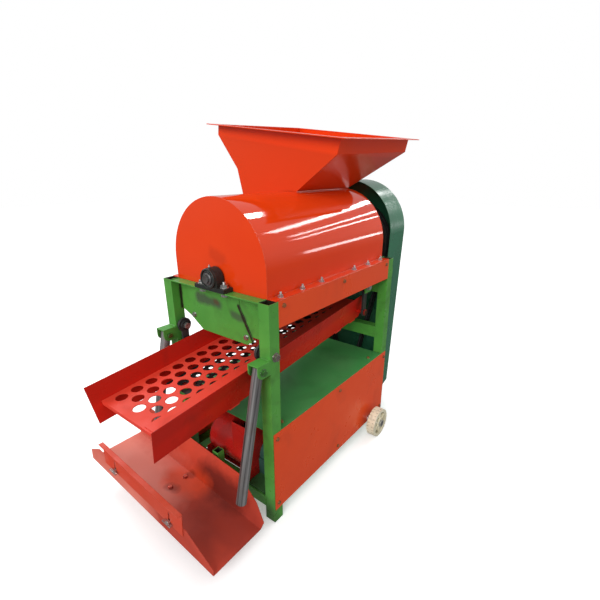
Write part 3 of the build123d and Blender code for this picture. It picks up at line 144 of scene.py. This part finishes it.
CHUTE_MARKS = (
    # Pale patch on the left of the chute floor: dust, and painted light where the top light reaches past the
    # sieve
    (CHUTE_DUST_AND_LIGHT, 0.95, 0.150, (-0.400, -0.190, 0.116), (-0.130, -0.200, 0.090)),
    # Painted shade: the right of the chute floor, under the sieve and leg, is darker
    (CHUTE_DIRT_AND_SHADE, 0.75, 0.130, (0.120, -0.130, 0.064), (0.210, -0.130, 0.055)),
    # Painted shade: the chute's back wall under the sieve is darker
    (CHUTE_SHADE_AND_SMUDGE, 0.90, 0.070, (-0.020, -0.068, 0.110), (0.120, -0.068, 0.095)),
    # Painted light: a brighter orange band on the chute floor, left of the sieve
    (CHUTE_PAINTED_LIGHT, 0.75, 0.070, (-0.110, -0.125, 0.086), (-0.040, -0.105, 0.080)),
    # Dark smears on the right of the two floor bolts
    (CHUTE_SHADE_AND_SMUDGE, 0.50, 0.024, (-0.096, -0.170, 0.085), (-0.082, -0.162, 0.084)),
    (CHUTE_SHADE_AND_SMUDGE, 0.50, 0.022, (-0.094, -0.092, 0.085), (-0.086, -0.086, 0.084)),
)
# Dark round the studs of the sieve walls
STUD_MARKS = tuple((GRIME_AND_SHADE, 0.95, 0.024, (side * 0.186, y, z), (side * 0.192, y, z))
                   for side in SIDES for y, z in ((0.0224, 0.5001), (0.6404, 0.5588)))
BOLT_MARKS = (
    (CHUTE_RED, 0.90, 0.030, (-0.095, -0.170, 0.087), (-0.095, -0.100, 0.087)),
    *((GREEN, 0.90, 0.022, (side * 0.185, -0.031, 0.583), (side * 0.250, -0.031, 0.583)) for side in SIDES),
    *((SCREW_DARK, 0.60, 0.022, (side * 0.225, 0.022, 0.61), (side * 0.250, 0.022, 0.61)) for side in SIDES),
)
# Middle and half width of the bore of each open tube that stands upright, painted dark inside as painted
# shade
BORES = (*((side * 0.216, y, 0.017) for side in SIDES for y in (0.020, 0.746)), (-0.013, -0.014, 0.011))
BORE_EDGE = (0.0003, 0.0018)
# Changes of colour: the colour over the change, and two points that it runs between
# Painted shade: the sieve wall's upper half is darker, as from a fold that the sheet doesn't have
WALL_FOLD_SHADE = (WALL_SHADE_AND_WORN_EDGES, (0.0, -0.3066, 0.4724), (0.0, -0.3090, 0.4950))
# Painted shade: the hopper's front wall is darker below a fold line that the sheet doesn't have
HOPPER_FOLD_SHADE = (ORANGE_FOLD_SHADE, (0.0006, 0.380, 1.1860), (-0.0009, 0.380, 1.1760))
MOTOR_BASE = (MOTOR_GREEN, (0.0, 0.0, 0.0985), (0.0, 0.0, 0.1030))

# Finish of each slot and of the nodes below: two near colours, cloud size, gloss range and what else shows.
# A stain is (colour, strength, grain); the edge entry is (colour, strength) on sharp edges, chipped and worn
# paint on most finishes but a painted highlight on the drum and painted shade on the hopper and panels; the
# corner entry is dirt and painted shade in corners.
FINISHES = {
    # The drum's light edge tint is a painted highlight along its edges
    "drum_orange": {"colours": (ORANGE, ORANGE_DEEP), "grain": 3.0, "rough": (0.04, 0.09), "shine": 0.45,
                    "edge_wear_and_shading": (DRUM_EDGE_HIGHLIGHT, 0.6), "wave": 0.10, "marks": DRUM_MARKS, "corner_dirt_and_shade": 0.5},
    # The hopper's dark edge tint is painted shade along its edges
    "hopper_orange": {"colours": (ORANGE, ORANGE_DEEP), "grain": 3.0, "rough": (0.14, 0.26), "shine": 0.20,
                      "edge_wear_and_shading": (ORANGE_EDGE_SHADE, 0.8), "wave": 0.14, "fade": HOPPER_FOLD_SHADE, "corner_dirt_and_shade": 0.6},
    # The panels' dark edge tint is painted shade along their edges
    "panel_orange": {"colours": (PANEL, PANEL_DEEP), "grain": 5.0, "rough": (0.26, 0.42), "shine": 0.32,
                     "stain": (SOOT, 0.12, 7.0), "edge_wear_and_shading": (ORANGE_EDGE_SHADE, 0.6), "wave": 0.05, "corner_dirt_and_shade": 0.7},
    "sieve_red": {"colours": (BED_RED, BED_DUST), "grain": 7.0, "rough": (0.36, 0.56), "shine": 0.12,
                  "stain": (SOOT, 0.14, 12.0), "edge_wear_and_shading": (WALL_SHADE_AND_WORN_EDGES, 0.5), "wave": 0.10, "corner_dirt_and_shade": 0.4},
    "sieve_wall_red": {"colours": (WALL_RED, WALL_DEEP), "grain": 4.0, "rough": (0.22, 0.42), "shine": 0.10,
                       "stain": (SOOT, 0.25, 9.0), "edge_wear_and_shading": (GRIME_AND_SHADE, 0.6), "wave": 0.12, "fade": WALL_FOLD_SHADE,
                       "marks": STUD_MARKS, "corner_dirt_and_shade": 0.5},
    "blower_red": {"colours": (BLOWER_RED, BLOWER_DEEP), "grain": 8.0, "rough": (0.20, 0.40), "shine": 0.30,
                   "stain": (SOOT, 0.35, 14.0), "edge_wear_and_shading": (CHIP, 0.3), "corner_dirt_and_shade": 0.6},
    "chute_red": {"colours": (CHUTE_RED, CHUTE_DULL), "grain": 5.0, "rough": (0.34, 0.60), "shine": 0.25,
                  "stain": (CHUTE_DIRT_AND_SHADE, 0.30, 6.0), "edge_wear_and_shading": (CHUTE_DIRT_AND_SHADE, 0.6), "wave": 0.15,
                  "marks": CHUTE_MARKS, "corner_dirt_and_shade": 0.4},
    "gate_red": {"colours": (GATE_RED, GATE_DULL), "grain": 6.0, "rough": (0.30, 0.55), "shine": 0.25,
                 "stain": (CHUTE_DUST_AND_LIGHT, 0.25, 9.0), "edge_wear_and_shading": (CHUTE_DUST_AND_LIGHT, 0.4), "wave": 0.12, "corner_dirt_and_shade": 0.5},
    "frame_green": {"colours": (GREEN, GREEN_DEEP), "grain": 9.0, "rough": (0.26, 0.46), "shine": 0.30,
                    "stain": (SOOT, 0.30, 16.0), "edge_wear_and_shading": (CHIP, 0.25), "wave": 0.05, "marks": FRAME_MARKS,
                    "bores": BORES, "corner_dirt_and_shade": 0.8},
    "deck_green": {"colours": (DECK_GREEN, DECK_DUST), "grain": 5.0, "rough": (0.30, 0.55), "shine": 0.25,
                   "stain": (SOOT, 0.20, 8.0), "wave": 0.10, "corner_dirt_and_shade": 0.7},
    "guard_green": {"colours": (GUARD_GREEN, GUARD_DEEP), "grain": 4.0, "rough": (0.20, 0.34), "shine": 0.45,
                    "stain": (SOOT, 0.12, 9.0), "edge_wear_and_shading": (CHIP, 0.25), "wave": 0.05, "corner_dirt_and_shade": 0.6},
    "motor_green": {"colours": (MOTOR_GREEN, MOTOR_DEEP), "grain": 18.0, "rough": (0.40, 0.60), "shine": 0.3,
                    "stain": (SOOT, 0.30, 20.0), "corner_dirt_and_shade": 0.6},
    "based_motor": {"colours": (BASE_GREEN, BASE_DEEP), "grain": 18.0, "rough": (0.40, 0.60), "shine": 0.3,
                    "stain": (SOOT, 0.30, 20.0), "fade": MOTOR_BASE, "corner_dirt_and_shade": 0.6},
    "cast_grey": {"colours": (CAST, CAST_DEEP), "grain": 60.0, "rough": (0.38, 0.62), "shine": 0.4,
                  "stain": (RUST, 0.25, 30.0), "wave": 0.04, "edge_wear_and_shading": (CHIP, 0.35), "corner_dirt_and_shade": 0.6},
    "galvanised_steel": {"colours": (GALVANISED, GALVANISED_DARK), "grain": 190.0, "rough": (0.30, 0.55),
                         "metal": 0.6, "stain": (RUST, 0.25, 18.0), "streak": HANDLE_STREAK},
    "zinc_steel": {"colours": (ZINC, ZINC_DARK), "grain": 90.0, "rough": (0.22, 0.42), "metal": 0.9,
                   "marks": BOLT_MARKS, "corner_dirt_and_shade": 0.5},
    "brown_screw": {"colours": (SCREW, SCREW_DARK), "grain": 90.0, "rough": (0.30, 0.50), "metal": 0.5},
    "bare_steel": {"colours": (STEEL, STEEL_DARK), "grain": 24.0, "rough": (0.35, 0.60), "metal": 0.8,
                   "stain": (RUST, 0.30, 25.0)},
    "dark_iron": {"colours": (IRON, IRON_DARK), "grain": 30.0, "rough": (0.40, 0.65), "shine": 0.4,
                  "stain": (RUST, 0.25, 25.0), "edge_wear_and_shading": (CHIP, 0.25)},
    "black_rubber": {"colours": (RUBBER, RUBBER_GREY), "grain": 40.0, "rough": (0.60, 0.85), "shine": 0.3},
    "cream_plastic": {"colours": (CREAM, CREAM_DIRTY), "grain": 16.0, "rough": (0.45, 0.65), "shine": 0.35,
                      "stain": (SOOT, 0.25, 35.0), "corner_dirt_and_shade": 0.7},
}
# Nodes that look different from the rest of their slot
OWN_FINISH = {
    # The lower deck's dark iron finish stands in for the deep shade under the sieve bed: painted shade
    "feed_hopper": "hopper_orange", "sieve_walls": "sieve_wall_red", "sieve_lower_deck": "dark_iron",
    "blower_motor": "based_motor", "chute_gate": "gate_red", "side_panels": "panel_orange",
    "side_strips": "panel_orange", "panel_screws": "brown_screw",
    **{f"hanger_{end}_{side}": "dark_iron" for end in ("front", "rear") for side in ("left", "right")},
}

# How clouds, stains, gloss, bumps, corners darkened with dirt and painted shade, marks and tinted edges are
# drawn in every finish
GRAIN_DETAIL = 4.0
CLOUD_LOW = 0.36
CLOUD_HIGH = 0.70
STAIN_LOW = 0.52
STAIN_HIGH = 0.74
STAIN_WARP = 0.8
STAIN_ROUGH = 0.7
GLOSS_GRAIN = 2.0
PEEL_SCALE = 240.0
PEEL_HEIGHT = 0.02
PEEL_DEPTH = 0.001
WAVE_SCALE = 7.0
WAVE_DEPTH = 0.004
# Corners and joins between parts darkened by ambient occlusion: dirt and painted shade
CREVICE_REACH = 0.012
CREVICE_SAMPLES = 4
CREVICE_RANGE = (0.15, 0.62)
MARK_CORE = 0.35
MARK_RAGGED = 0.55
MARK_FRINGE = 0.045
MARK_GRAIN = 28.0
EDGE_R = 0.0016
EDGE_SAMPLES = 4
EDGE_SHARP = 0.82
EDGE_FLAT = 0.97
EDGE_GRAIN = 55.0

# Small fittings of the pillow blocks, as (radius, distance along the axis) points from the face of the head
RING_PROUD = 0.002
RIM_PROFILE = ((0.0310, -0.001), (0.0310, 0.006), (0.0296, 0.0075), (0.0262, 0.0075), (0.0250, 0.006),
               (0.0250, -0.001))
RACE_PROFILE = ((0.0247, -0.001), (0.0247, 0.003), (0.0225, 0.0036), (0.0205, 0.003), (0.0203, -0.001))
COLLAR_PROFILE = ((0.0127, 0.0021), (0.0127, 0.009), (0.0168, 0.009), (0.0180, 0.008), (0.0180, 0.0021))
SET_SCREW_TURN = 50.0
SET_SCREW_OUT = 0.0055
SET_SCREW_PROFILE = ((0.0024, 0.0165), (0.0024, 0.0190), (0.0014, 0.0190), (0.0012, 0.0176))
NIPPLE_IN = 0.006
NIPPLE_PROFILE = ((0.0030, -0.001), (0.0030, 0.0015), (0.0040, 0.0015), (0.0040, 0.0040), (0.0020, 0.0045),
                  (0.0018, 0.0060), (0.0026, 0.0070), (0.0024, 0.0082), (0.0010, 0.0090))
# Threaded ends over the nuts of the drum's flanges and of the pillow blocks: radius, height, pitch, places
FLANGE_X = 0.214
FLANGE_FIRST = 0.075
FLANGE_STEP = 0.10267
FLANGE_ROWS = (0, 1, 2, 4, 5, 6)
FLANGE_ENDS = (0.0038, 0.0095, 0.0011, [(side * FLANGE_X, FLANGE_FIRST + row * FLANGE_STEP, 0.7790)
                                        for side in SIDES for row in FLANGE_ROWS])
BEARING_ENDS = (0.0057, 0.0090, 0.0014, [(side * 0.049, y, 0.7933) for side in SIDES for y in (0.014, 0.752)])
THREAD_DEPTH = 0.12
THREAD_TIP = 0.70
# Pan-headed screws through the lips of the belt guard's brackets: distance from the lips' ends, (x, height)
GUARD_SCREW_PROFILE = ((0.0070, -0.001), (0.0070, 0.0012), (0.0052, 0.0013), (0.0050, 0.0030),
                       (0.0038, 0.0044), (0.0016, 0.0050))
GUARD_SCREW_IN = 0.017
GUARD_SCREWS = ((0.1930, 0.270), (0.2048, 0.710))
# Corners round a turned shape, and the angle up to which its faces are shaded as one
TURNED_STEPS = 40
SMOOTH_TO = 40.0
# Weld beads on the right of the frame, from one point to another; the left has the same
LEG_FACE = 0.1955
WELDS = (
    *(((LEG_FACE, *first), (LEG_FACE, *last)) for first, last in (
        ((0.003, 0.7715), (0.037, 0.7715)), ((0.729, 0.7715), (0.763, 0.7715)),
        ((-0.0005, 0.053), (-0.0005, 0.088)), ((0.003, 0.0905), (0.037, 0.0905)),
        ((0.7255, 0.423), (0.7255, 0.467)), ((0.7665, 0.423), (0.7665, 0.467)),
        ((0.729, 0.4705), (0.763, 0.4705)), ((0.7665, 0.053), (0.7665, 0.088)))),
    *(((0.199, -0.0010, z), (0.233, -0.0010, z)) for z in (0.6065, 0.5625)),
)
BEAD_R = 0.0021
BEAD_STEP = 0.0025
BEAD_LEAST = 6
BEAD_RIPPLE = 0.14
BEAD_END = 0.45

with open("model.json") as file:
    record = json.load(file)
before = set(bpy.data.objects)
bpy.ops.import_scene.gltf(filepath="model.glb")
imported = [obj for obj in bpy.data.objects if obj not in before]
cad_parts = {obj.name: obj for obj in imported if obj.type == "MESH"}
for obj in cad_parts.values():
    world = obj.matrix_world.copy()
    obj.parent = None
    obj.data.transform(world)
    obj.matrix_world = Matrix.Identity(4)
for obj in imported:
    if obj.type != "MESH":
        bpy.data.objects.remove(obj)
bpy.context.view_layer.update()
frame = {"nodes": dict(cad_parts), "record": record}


def stand_point(place):
    """Point given from the middle of the stand's front face on the floor, in the row frame."""
    low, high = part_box("front_legs")
    return Vector(((low[0] + high[0]) / 2 + place[0], low[1] + place[1], low[2] + place[2]))


def new_material(name):
    """Material with its node tree and its shader."""
    made = bpy.data.materials.new(name)
    made.use_nodes = True
    return made, made.node_tree, made.node_tree.nodes["Principled BSDF"]


def add(tree, kind, values=None, links=None, **settings):
    """Shader node with its settings, its input values and the sockets that feed it."""
    node = tree.nodes.new("ShaderNode" + kind)
    for key, value in settings.items():
        setattr(node, key, value)
    for key, value in (values or {}).items():
        node.inputs[key].default_value = value
    for key, socket in (links or {}).items():
        tree.links.new(socket, node.inputs[key])
    return node


def noise(tree, scale, warp=0.0, streak=None):
    """Noise over the object's own coordinates, drawn out along a leaning upright where there is a streak."""
    place = add(tree, "TexCoord").outputs["Object"]
    if streak:
        lean, length = streak
        values = {"Angle": radians(lean)}
        upright = add(tree, "VectorRotate", values, {"Vector": place}, rotation_type="X_AXIS")
        place = vector(tree, "MULTIPLY", upright.outputs["Vector"], (1, 1, length))
    values = {"Scale": scale, "Detail": GRAIN_DETAIL, "Distortion": warp}
    return add(tree, "TexNoise", values, {"Vector": place}).outputs["Fac"]


def spread(tree, value, source, target):
    """Value carried from one range to another, held at both ends."""
    values = {"From Min": source[0], "From Max": source[1], "To Min": target[0], "To Max": target[1]}
    return add(tree, "MapRange", values, {"Value": value}).outputs["Result"]


def blend(tree, factor, first, second):
    """First colour or socket over to a second colour by a factor."""
    mix = add(tree, "Mix", {"B": (*second, 1)}, {"Factor": factor}, data_type="RGBA")
    if isinstance(first, tuple):
        mix.inputs["A"].default_value = (*first, 1)
    else:
        tree.links.new(first, mix.inputs["A"])
    return mix.outputs["Result"]


def number(tree, operation, *values):
    """Math node on numbers or sockets."""
    node = add(tree, "Math", operation=operation)
    feed(tree, node, values)
    return node.outputs[0]


def vector(tree, operation, *values):
    """Vector node on vectors or sockets, with its number or its vector as the result."""
    node = add(tree, "VectorMath", operation=operation)
    feed(tree, node, values)
    return node.outputs["Value" if operation in ("DOT_PRODUCT", "LENGTH") else "Vector"]


def feed(tree, node, values):
    """Sets or links a node's first inputs."""
    for socket, value in zip(node.inputs, values):
        if isinstance(value, bpy.types.NodeSocket):
            tree.links.new(value, socket)
        else:
            socket.default_value = value


def along(tree, place, first, last):
    """How far a place is along the line from one point to another, from 0 to 1."""
    run = last - first
    share = vector(tree, "DOT_PRODUCT", vector(tree, "SUBTRACT", place, first), run / run.length_squared)
    return spread(tree, share, (0, 1), (0, 1))


def mark(tree, strength, reach, first, last):
    """Mask of a ragged patch along a line, for stains, dirt, painted light and painted shade."""
    place = add(tree, "TexCoord").outputs["Object"]
    first, last = stand_point(first), stand_point(last)
    off = vector(tree, "SUBTRACT", place, first)
    step = add(tree, "VectorMath", operation="SCALE")
    step.inputs[0].default_value = last - first
    tree.links.new(along(tree, place, first, last), step.inputs["Scale"])
    far = vector(tree, "LENGTH", vector(tree, "SUBTRACT", off, step.outputs["Vector"]))
    fringe = MARK_RAGGED * min(reach, MARK_FRINGE)
    uneven = spread(tree, noise(tree, MARK_GRAIN), (0, 1), (-fringe, fringe))
    return spread(tree, number(tree, "ADD", far, uneven), (MARK_CORE * reach, reach), (strength, 0))


def bore(tree, x, y, half):
    """Mask of the inside of an upright square tube."""
    place = add(tree, "TexCoord").outputs["Object"]
    off = vector(tree, "ABSOLUTE", vector(tree, "SUBTRACT", place, stand_point((x, y, 0))))
    sides = add(tree, "SeparateXYZ", links={"Vector": off}).outputs
    edge = [half + more for more in BORE_EDGE]
    return spread(tree, number(tree, "MAXIMUM", sides["X"], sides["Y"]), edge, (1, 0))


def worn_and_shaded_edge(tree, rounded, amount):
    """Mask of the sharp edges, broken up by noise."""
    flat = vector(tree, "DOT_PRODUCT", rounded, add(tree, "NewGeometry").outputs["Normal"])
    edge = spread(tree, flat, (EDGE_SHARP, EDGE_FLAT), (amount, 0))
    broken = spread(tree, noise(tree, EDGE_GRAIN), (CLOUD_LOW, CLOUD_HIGH), (0, 1))
    return number(tree, "MULTIPLY", edge, broken)


def finish(name, colours, grain, rough, shine=0.5, metal=0.0, stain=None, edge_wear_and_shading=None, wave=0.0, fade=None,
           marks=(), bores=(), corner_dirt_and_shade=0.0, streak=None):
    """Mottled finish with uneven gloss, stains, marks, tinted edges (chipped paint, painted highlight and
    painted shade, by finish), corners darkened with dirt and painted shade, rounded corners and a fine grain.
    """
    made, tree, shader = new_material(name)
    cloud = (CLOUD_LOW, CLOUD_HIGH)
    colour = blend(tree, spread(tree, noise(tree, grain, streak=streak), cloud, (0, 1)), *colours)
    gloss = spread(tree, noise(tree, GLOSS_GRAIN * grain, streak=streak), cloud, rough)
    rounded = add(tree, "Bevel", {"Radius": EDGE_R}, samples=EDGE_SAMPLES).outputs["Normal"]
    if fade:
        place = add(tree, "TexCoord").outputs["Object"]
        share = along(tree, place, *[stand_point(end) for end in fade[1:]])
        colour = blend(tree, share, colour, fade[0])
    if stain:
        spots = spread(tree, noise(tree, stain[2], STAIN_WARP), (STAIN_LOW, STAIN_HIGH), (0, stain[1]))
        colour = blend(tree, spots, colour, stain[0])
        dull = add(tree, "Mix", {"B": STAIN_ROUGH}, {"Factor": spots, "A": gloss})
        gloss = dull.outputs["Result"]
    for tint, *where in marks:
        colour = blend(tree, mark(tree, *where), colour, tint)
    # Painted shade: the insides of open upright tubes turned dark
    for where in bores:
        colour = blend(tree, bore(tree, *where), colour, GRIME_AND_SHADE)
    # Edge tint by finish: chipped paint on most, painted highlight on the drum, painted shade on the hopper
    # and panels
    if edge_wear_and_shading:
        colour = blend(tree, worn_and_shaded_edge(tree, rounded, edge_wear_and_shading[1]), colour, edge_wear_and_shading[0])
    # Dirt and painted shade: darker where parts meet and in corners
    if corner_dirt_and_shade:
        values = {"Distance": CREVICE_REACH}
        open_sky = add(tree, "AmbientOcclusion", values, samples=CREVICE_SAMPLES).outputs["AO"]
        colour = blend(tree, spread(tree, open_sky, CREVICE_RANGE, (corner_dirt_and_shade, 0)), colour, GRIME_AND_SHADE)
    tree.links.new(colour, shader.inputs["Base Color"])
    tree.links.new(gloss, shader.inputs["Roughness"])
    shader.inputs["Metallic"].default_value = metal
    shader.inputs["Specular IOR Level"].default_value = shine
    normal = rounded
    for scale, strength, depth in ((WAVE_SCALE, wave, WAVE_DEPTH), (PEEL_SCALE, PEEL_HEIGHT, PEEL_DEPTH)):
        links = {"Height": noise(tree, scale), "Normal": normal}
        normal = add(tree, "Bump", {"Strength": strength, "Distance": depth}, links).outputs["Normal"]
    tree.links.new(normal, shader.inputs["Normal"])
    return made


def paint_nodes():
    """Gives every node its own finish or the finish of its slot in the record."""
    for entry in frame["record"]["subparts"]:
        node = frame["nodes"][entry["node"]]
        node.data.materials.clear()
        node.data.materials.append(finishes[OWN_FINISH.get(entry["node"], entry["material_slot"])])


def add_holder(name, data):
    """Object in the scene that holds a mesh, a light or a camera."""
    holder = bpy.data.objects.new(name, data)
    bpy.context.scene.collection.objects.link(holder)
    return holder


def new_piece(name, rounds, body, slot):
    """Piece from rings of points joined in order, capped or closed to a loop, that rides on a body."""
    mesh = bpy.data.meshes.new(name)
    shape = bmesh.new()
    for rings, capped in rounds:
        corners = [[shape.verts.new(point) for point in ring] for ring in rings]
        count = len(corners[0])
        pairs = list(zip(corners, corners[1:])) + ([] if capped else [(corners[-1], corners[0])])
        for low, high in pairs:
            for i in range(count):
                shape.faces.new((low[i], low[i - 1], high[i - 1], high[i]))
        for ring in ((corners[0], corners[-1]) if capped else ()):
            shape.faces.new(ring)
    bmesh.ops.recalc_face_normals(shape, faces=shape.faces)
    shape.to_mesh(mesh)
    shape.free()
    mesh.shade_smooth()
    mesh.set_sharp_from_angle(angle=radians(SMOOTH_TO))
    mesh.materials.append(finishes[slot])
    made = add_holder(name, mesh)
    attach(made, body)


def turned(profile, middle, axis):
    """Rings of a turned shape, from (radius, distance along the axis) points."""
    ahead = Vector(axis).normalized()
    across = ahead.orthogonal().normalized()
    third = ahead.cross(across)
    rings = []
    for radius, far in profile:
        turns = [2 * pi * i / TURNED_STEPS for i in range(TURNED_STEPS)]
        centre = middle + ahead * far
        rings.append([centre + (across * cos(turn) + third * sin(turn)) * radius for turn in turns])
    return rings


def bead(first, last):
    """Rings of a rippled weld bead between two points."""
    run = last - first
    count = max(BEAD_LEAST, round(run.length / BEAD_STEP))
    profile = []
    for i in range(count + 1):
        size = BEAD_R * (BEAD_END if i in (0, count) else 1 + BEAD_RIPPLE * (-1) ** i)
        profile.append((size, run.length * i / count))
    return turned(profile, first, run)


def add_bearing_details():
    """Rim, race, locking collar with set screw and grease nipple of both pillow blocks."""
    low, high = [Vector(corner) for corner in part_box("bearing_rings")]
    head_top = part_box("pillow_blocks")[1][2]
    middle = (low + high) / 2
    rims, races, collars, nipples = [], [], [], []
    for end, out in ((low.y, -1), (high.y, 1)):
        face = Vector((middle.x, end - out * RING_PROUD, middle.z))
        axis = Vector((0, out, 0))
        rims.append((turned(RIM_PROFILE, face, axis), False))
        races.append((turned(RACE_PROFILE, face, axis), False))
        collars.append((turned(COLLAR_PROFILE, face, axis), False))
        radial = Vector((cos(radians(SET_SCREW_TURN)), 0, sin(radians(SET_SCREW_TURN))))
        collars.append((turned(SET_SCREW_PROFILE, face + axis * SET_SCREW_OUT, radial), True))
        foot = Vector((middle.x, face.y - out * NIPPLE_IN, head_top))
        nipples.append((turned(NIPPLE_PROFILE, foot, (0, 0, 1)), True))
    new_piece("bearing_rims", rims, "frame", "cast_grey")
    new_piece("bearing_races", races, "frame", "bare_steel")
    new_piece("locking_collars", collars, "rotor", "bare_steel")
    new_piece("grease_nipples", nipples, "frame", "zinc_steel")


def add_stud_ends():
    """Threaded bolt ends that stand over their nuts."""
    rounds = []
    for radius, height, pitch, places in (FLANGE_ENDS, BEARING_ENDS):
        count = 2 * round(height / pitch)
        profile = [(radius * (1 - THREAD_DEPTH * (i % 2)), height * i / count) for i in range(count)]
        profile.append((radius * THREAD_TIP, height))
        rounds += [(turned(profile, stand_point(place), (0, 0, 1)), True) for place in places]
    new_piece("stud_ends", rounds, "frame", "zinc_steel")


def add_guard_screws():
    """Screws that hold the belt guard to its brackets, on both sides."""
    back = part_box("guard_brackets")[1][1]
    rounds = []
    for x, z in GUARD_SCREWS:
        for side in SIDES:
            foot = stand_point((side * x, 0, z))
            foot.y = back - GUARD_SCREW_IN
            rounds.append((turned(GUARD_SCREW_PROFILE, foot, (side, 0, 0)), True))
    new_piece("guard_screws", rounds, "frame", "zinc_steel")


def add_welds():
    """Weld beads where beams and brackets meet the legs, on both sides of the frame."""
    rounds = []
    for first, last in WELDS:
        for side in SIDES:
            ends = [stand_point((side * x, y, z)) for x, y, z in (first, last)]
            rounds.append((bead(*ends), True))
    new_piece("weld_beads", rounds, "frame", "frame_green")


def add_floor():
    """Pale floor, which glows a little so that it meets the backdrop."""
    bpy.ops.mesh.primitive_plane_add(size=2 * FLOOR_HALF, location=stand_point((0, 0, -FLOOR_DROP)))
    floor = bpy.context.object
    floor.name = "floor"
    made, tree, shader = new_material("floor")
    cloud = spread(tree, noise(tree, FLOOR_GRAIN), (CLOUD_LOW, CLOUD_HIGH), (0, 1))
    tree.links.new(blend(tree, cloud, FLOOR_PALE, FLOOR_DIM), shader.inputs["Base Color"])
    shader.inputs["Roughness"].default_value = FLOOR_ROUGH
    shader.inputs["Emission Color"].default_value = (*BACKDROP, 1)
    shader.inputs["Emission Strength"].default_value = FLOOR_GLOW
    floor.data.materials.append(made)
    floor.visible_diffuse = False
    floor.visible_glossy = False


def add_world():
    """White backdrop, with a dimmer room round the part."""
    world = bpy.data.worlds.new("studio")
    world.use_nodes = True
    bpy.context.scene.world = world
    tree = world.node_tree
    backdrop = tree.nodes["Background"]
    backdrop.inputs["Color"].default_value = (*BACKDROP, 1)
    ahead = add(tree, "TexCoord").outputs["Generated"]
    height = add(tree, "SeparateXYZ", links={"Vector": ahead}).outputs["Z"]
    path = add(tree, "LightPath").outputs
    levels = (ROOM_LIGHT, ROOM_MIRRORED)
    level, mirrored = [spread(tree, height, (-ROOM_EDGE, ROOM_EDGE), pair) for pair in levels]
    strength = add(tree, "Mix", links={"Factor": path["Is Glossy Ray"], "A": level, "B": mirrored})
    room = add(tree, "Background", {"Color": (*ROOM, 1)}, {"Strength": strength.outputs["Result"]})
    both = add(tree, "MixShader", links={"Fac": path["Is Camera Ray"]})
    tree.links.new(room.outputs["Background"], both.inputs[1])
    tree.links.new(backdrop.outputs["Background"], both.inputs[2])
    tree.links.new(both.outputs["Shader"], tree.nodes["World Output"].inputs["Surface"])


def add_tube(name, ends, width, power):
    """Strip lamp between two points, its face turned to the drum."""
    light = bpy.data.lights.new(name, "AREA")
    light.shape = "RECTANGLE"
    first, last = [stand_point(end) for end in ends]
    light.size, light.size_y = (last - first).length, width
    light.energy = power
    place = (first + last) / 2
    away = place - stand_point(DRUM_MIDDLE)
    side = (last - first).normalized()
    back = (away - side * away.dot(side)).normalized()
    turn = Matrix((side, back.cross(side), back)).transposed().to_4x4()
    add_holder(name, light).matrix_world = Matrix.Translation(place) @ turn


def add_lights():
    """Soft daylight from the front, a lamp on the left and the tubes that the drum mirrors."""
    sun = bpy.data.lights.new("daylight", "SUN")
    sun.energy = SUN_POWER
    sun.angle = radians(SUN_SPREAD)
    add_holder("daylight", sun).rotation_euler = Vector(SUN_FROM).to_track_quat("Z", "Y").to_euler()
    soft = bpy.data.lights.new("side_lamp", "AREA")
    soft.size = SIDE_LAMP["side"]
    soft.energy = SIDE_LAMP["power"]
    holder = add_holder("side_lamp", soft)
    holder.location = stand_point(SIDE_LAMP["place"])
    away = holder.location - stand_point(SIDE_LAMP["aim"])
    holder.rotation_euler = away.to_track_quat("Z", "Y").to_euler()
    for name, values in TUBES.items():
        add_tube(name, **values)


def add_camera():
    """Camera at the photo's place and angle."""
    lens = bpy.data.cameras.new("camera")
    lens.sensor_width = SENSOR
    lens.lens = CAMERA_LENS
    lens.shift_y = CAMERA_RISE
    holder = add_holder("camera", lens)
    holder.location = stand_point(CAMERA_PLACE)
    holder.rotation_euler = (radians(CAMERA_PITCH), 0, radians(CAMERA_YAW))
    bpy.context.scene.camera = holder


bpy.context.scene.view_settings.view_transform = "Standard"
finishes = {name: finish(name, **values) for name, values in FINISHES.items()}
paint_nodes()
add_bearing_details()
add_stud_ends()
add_guard_screws()
add_welds()
add_floor()
add_world()
add_lights()
add_camera()
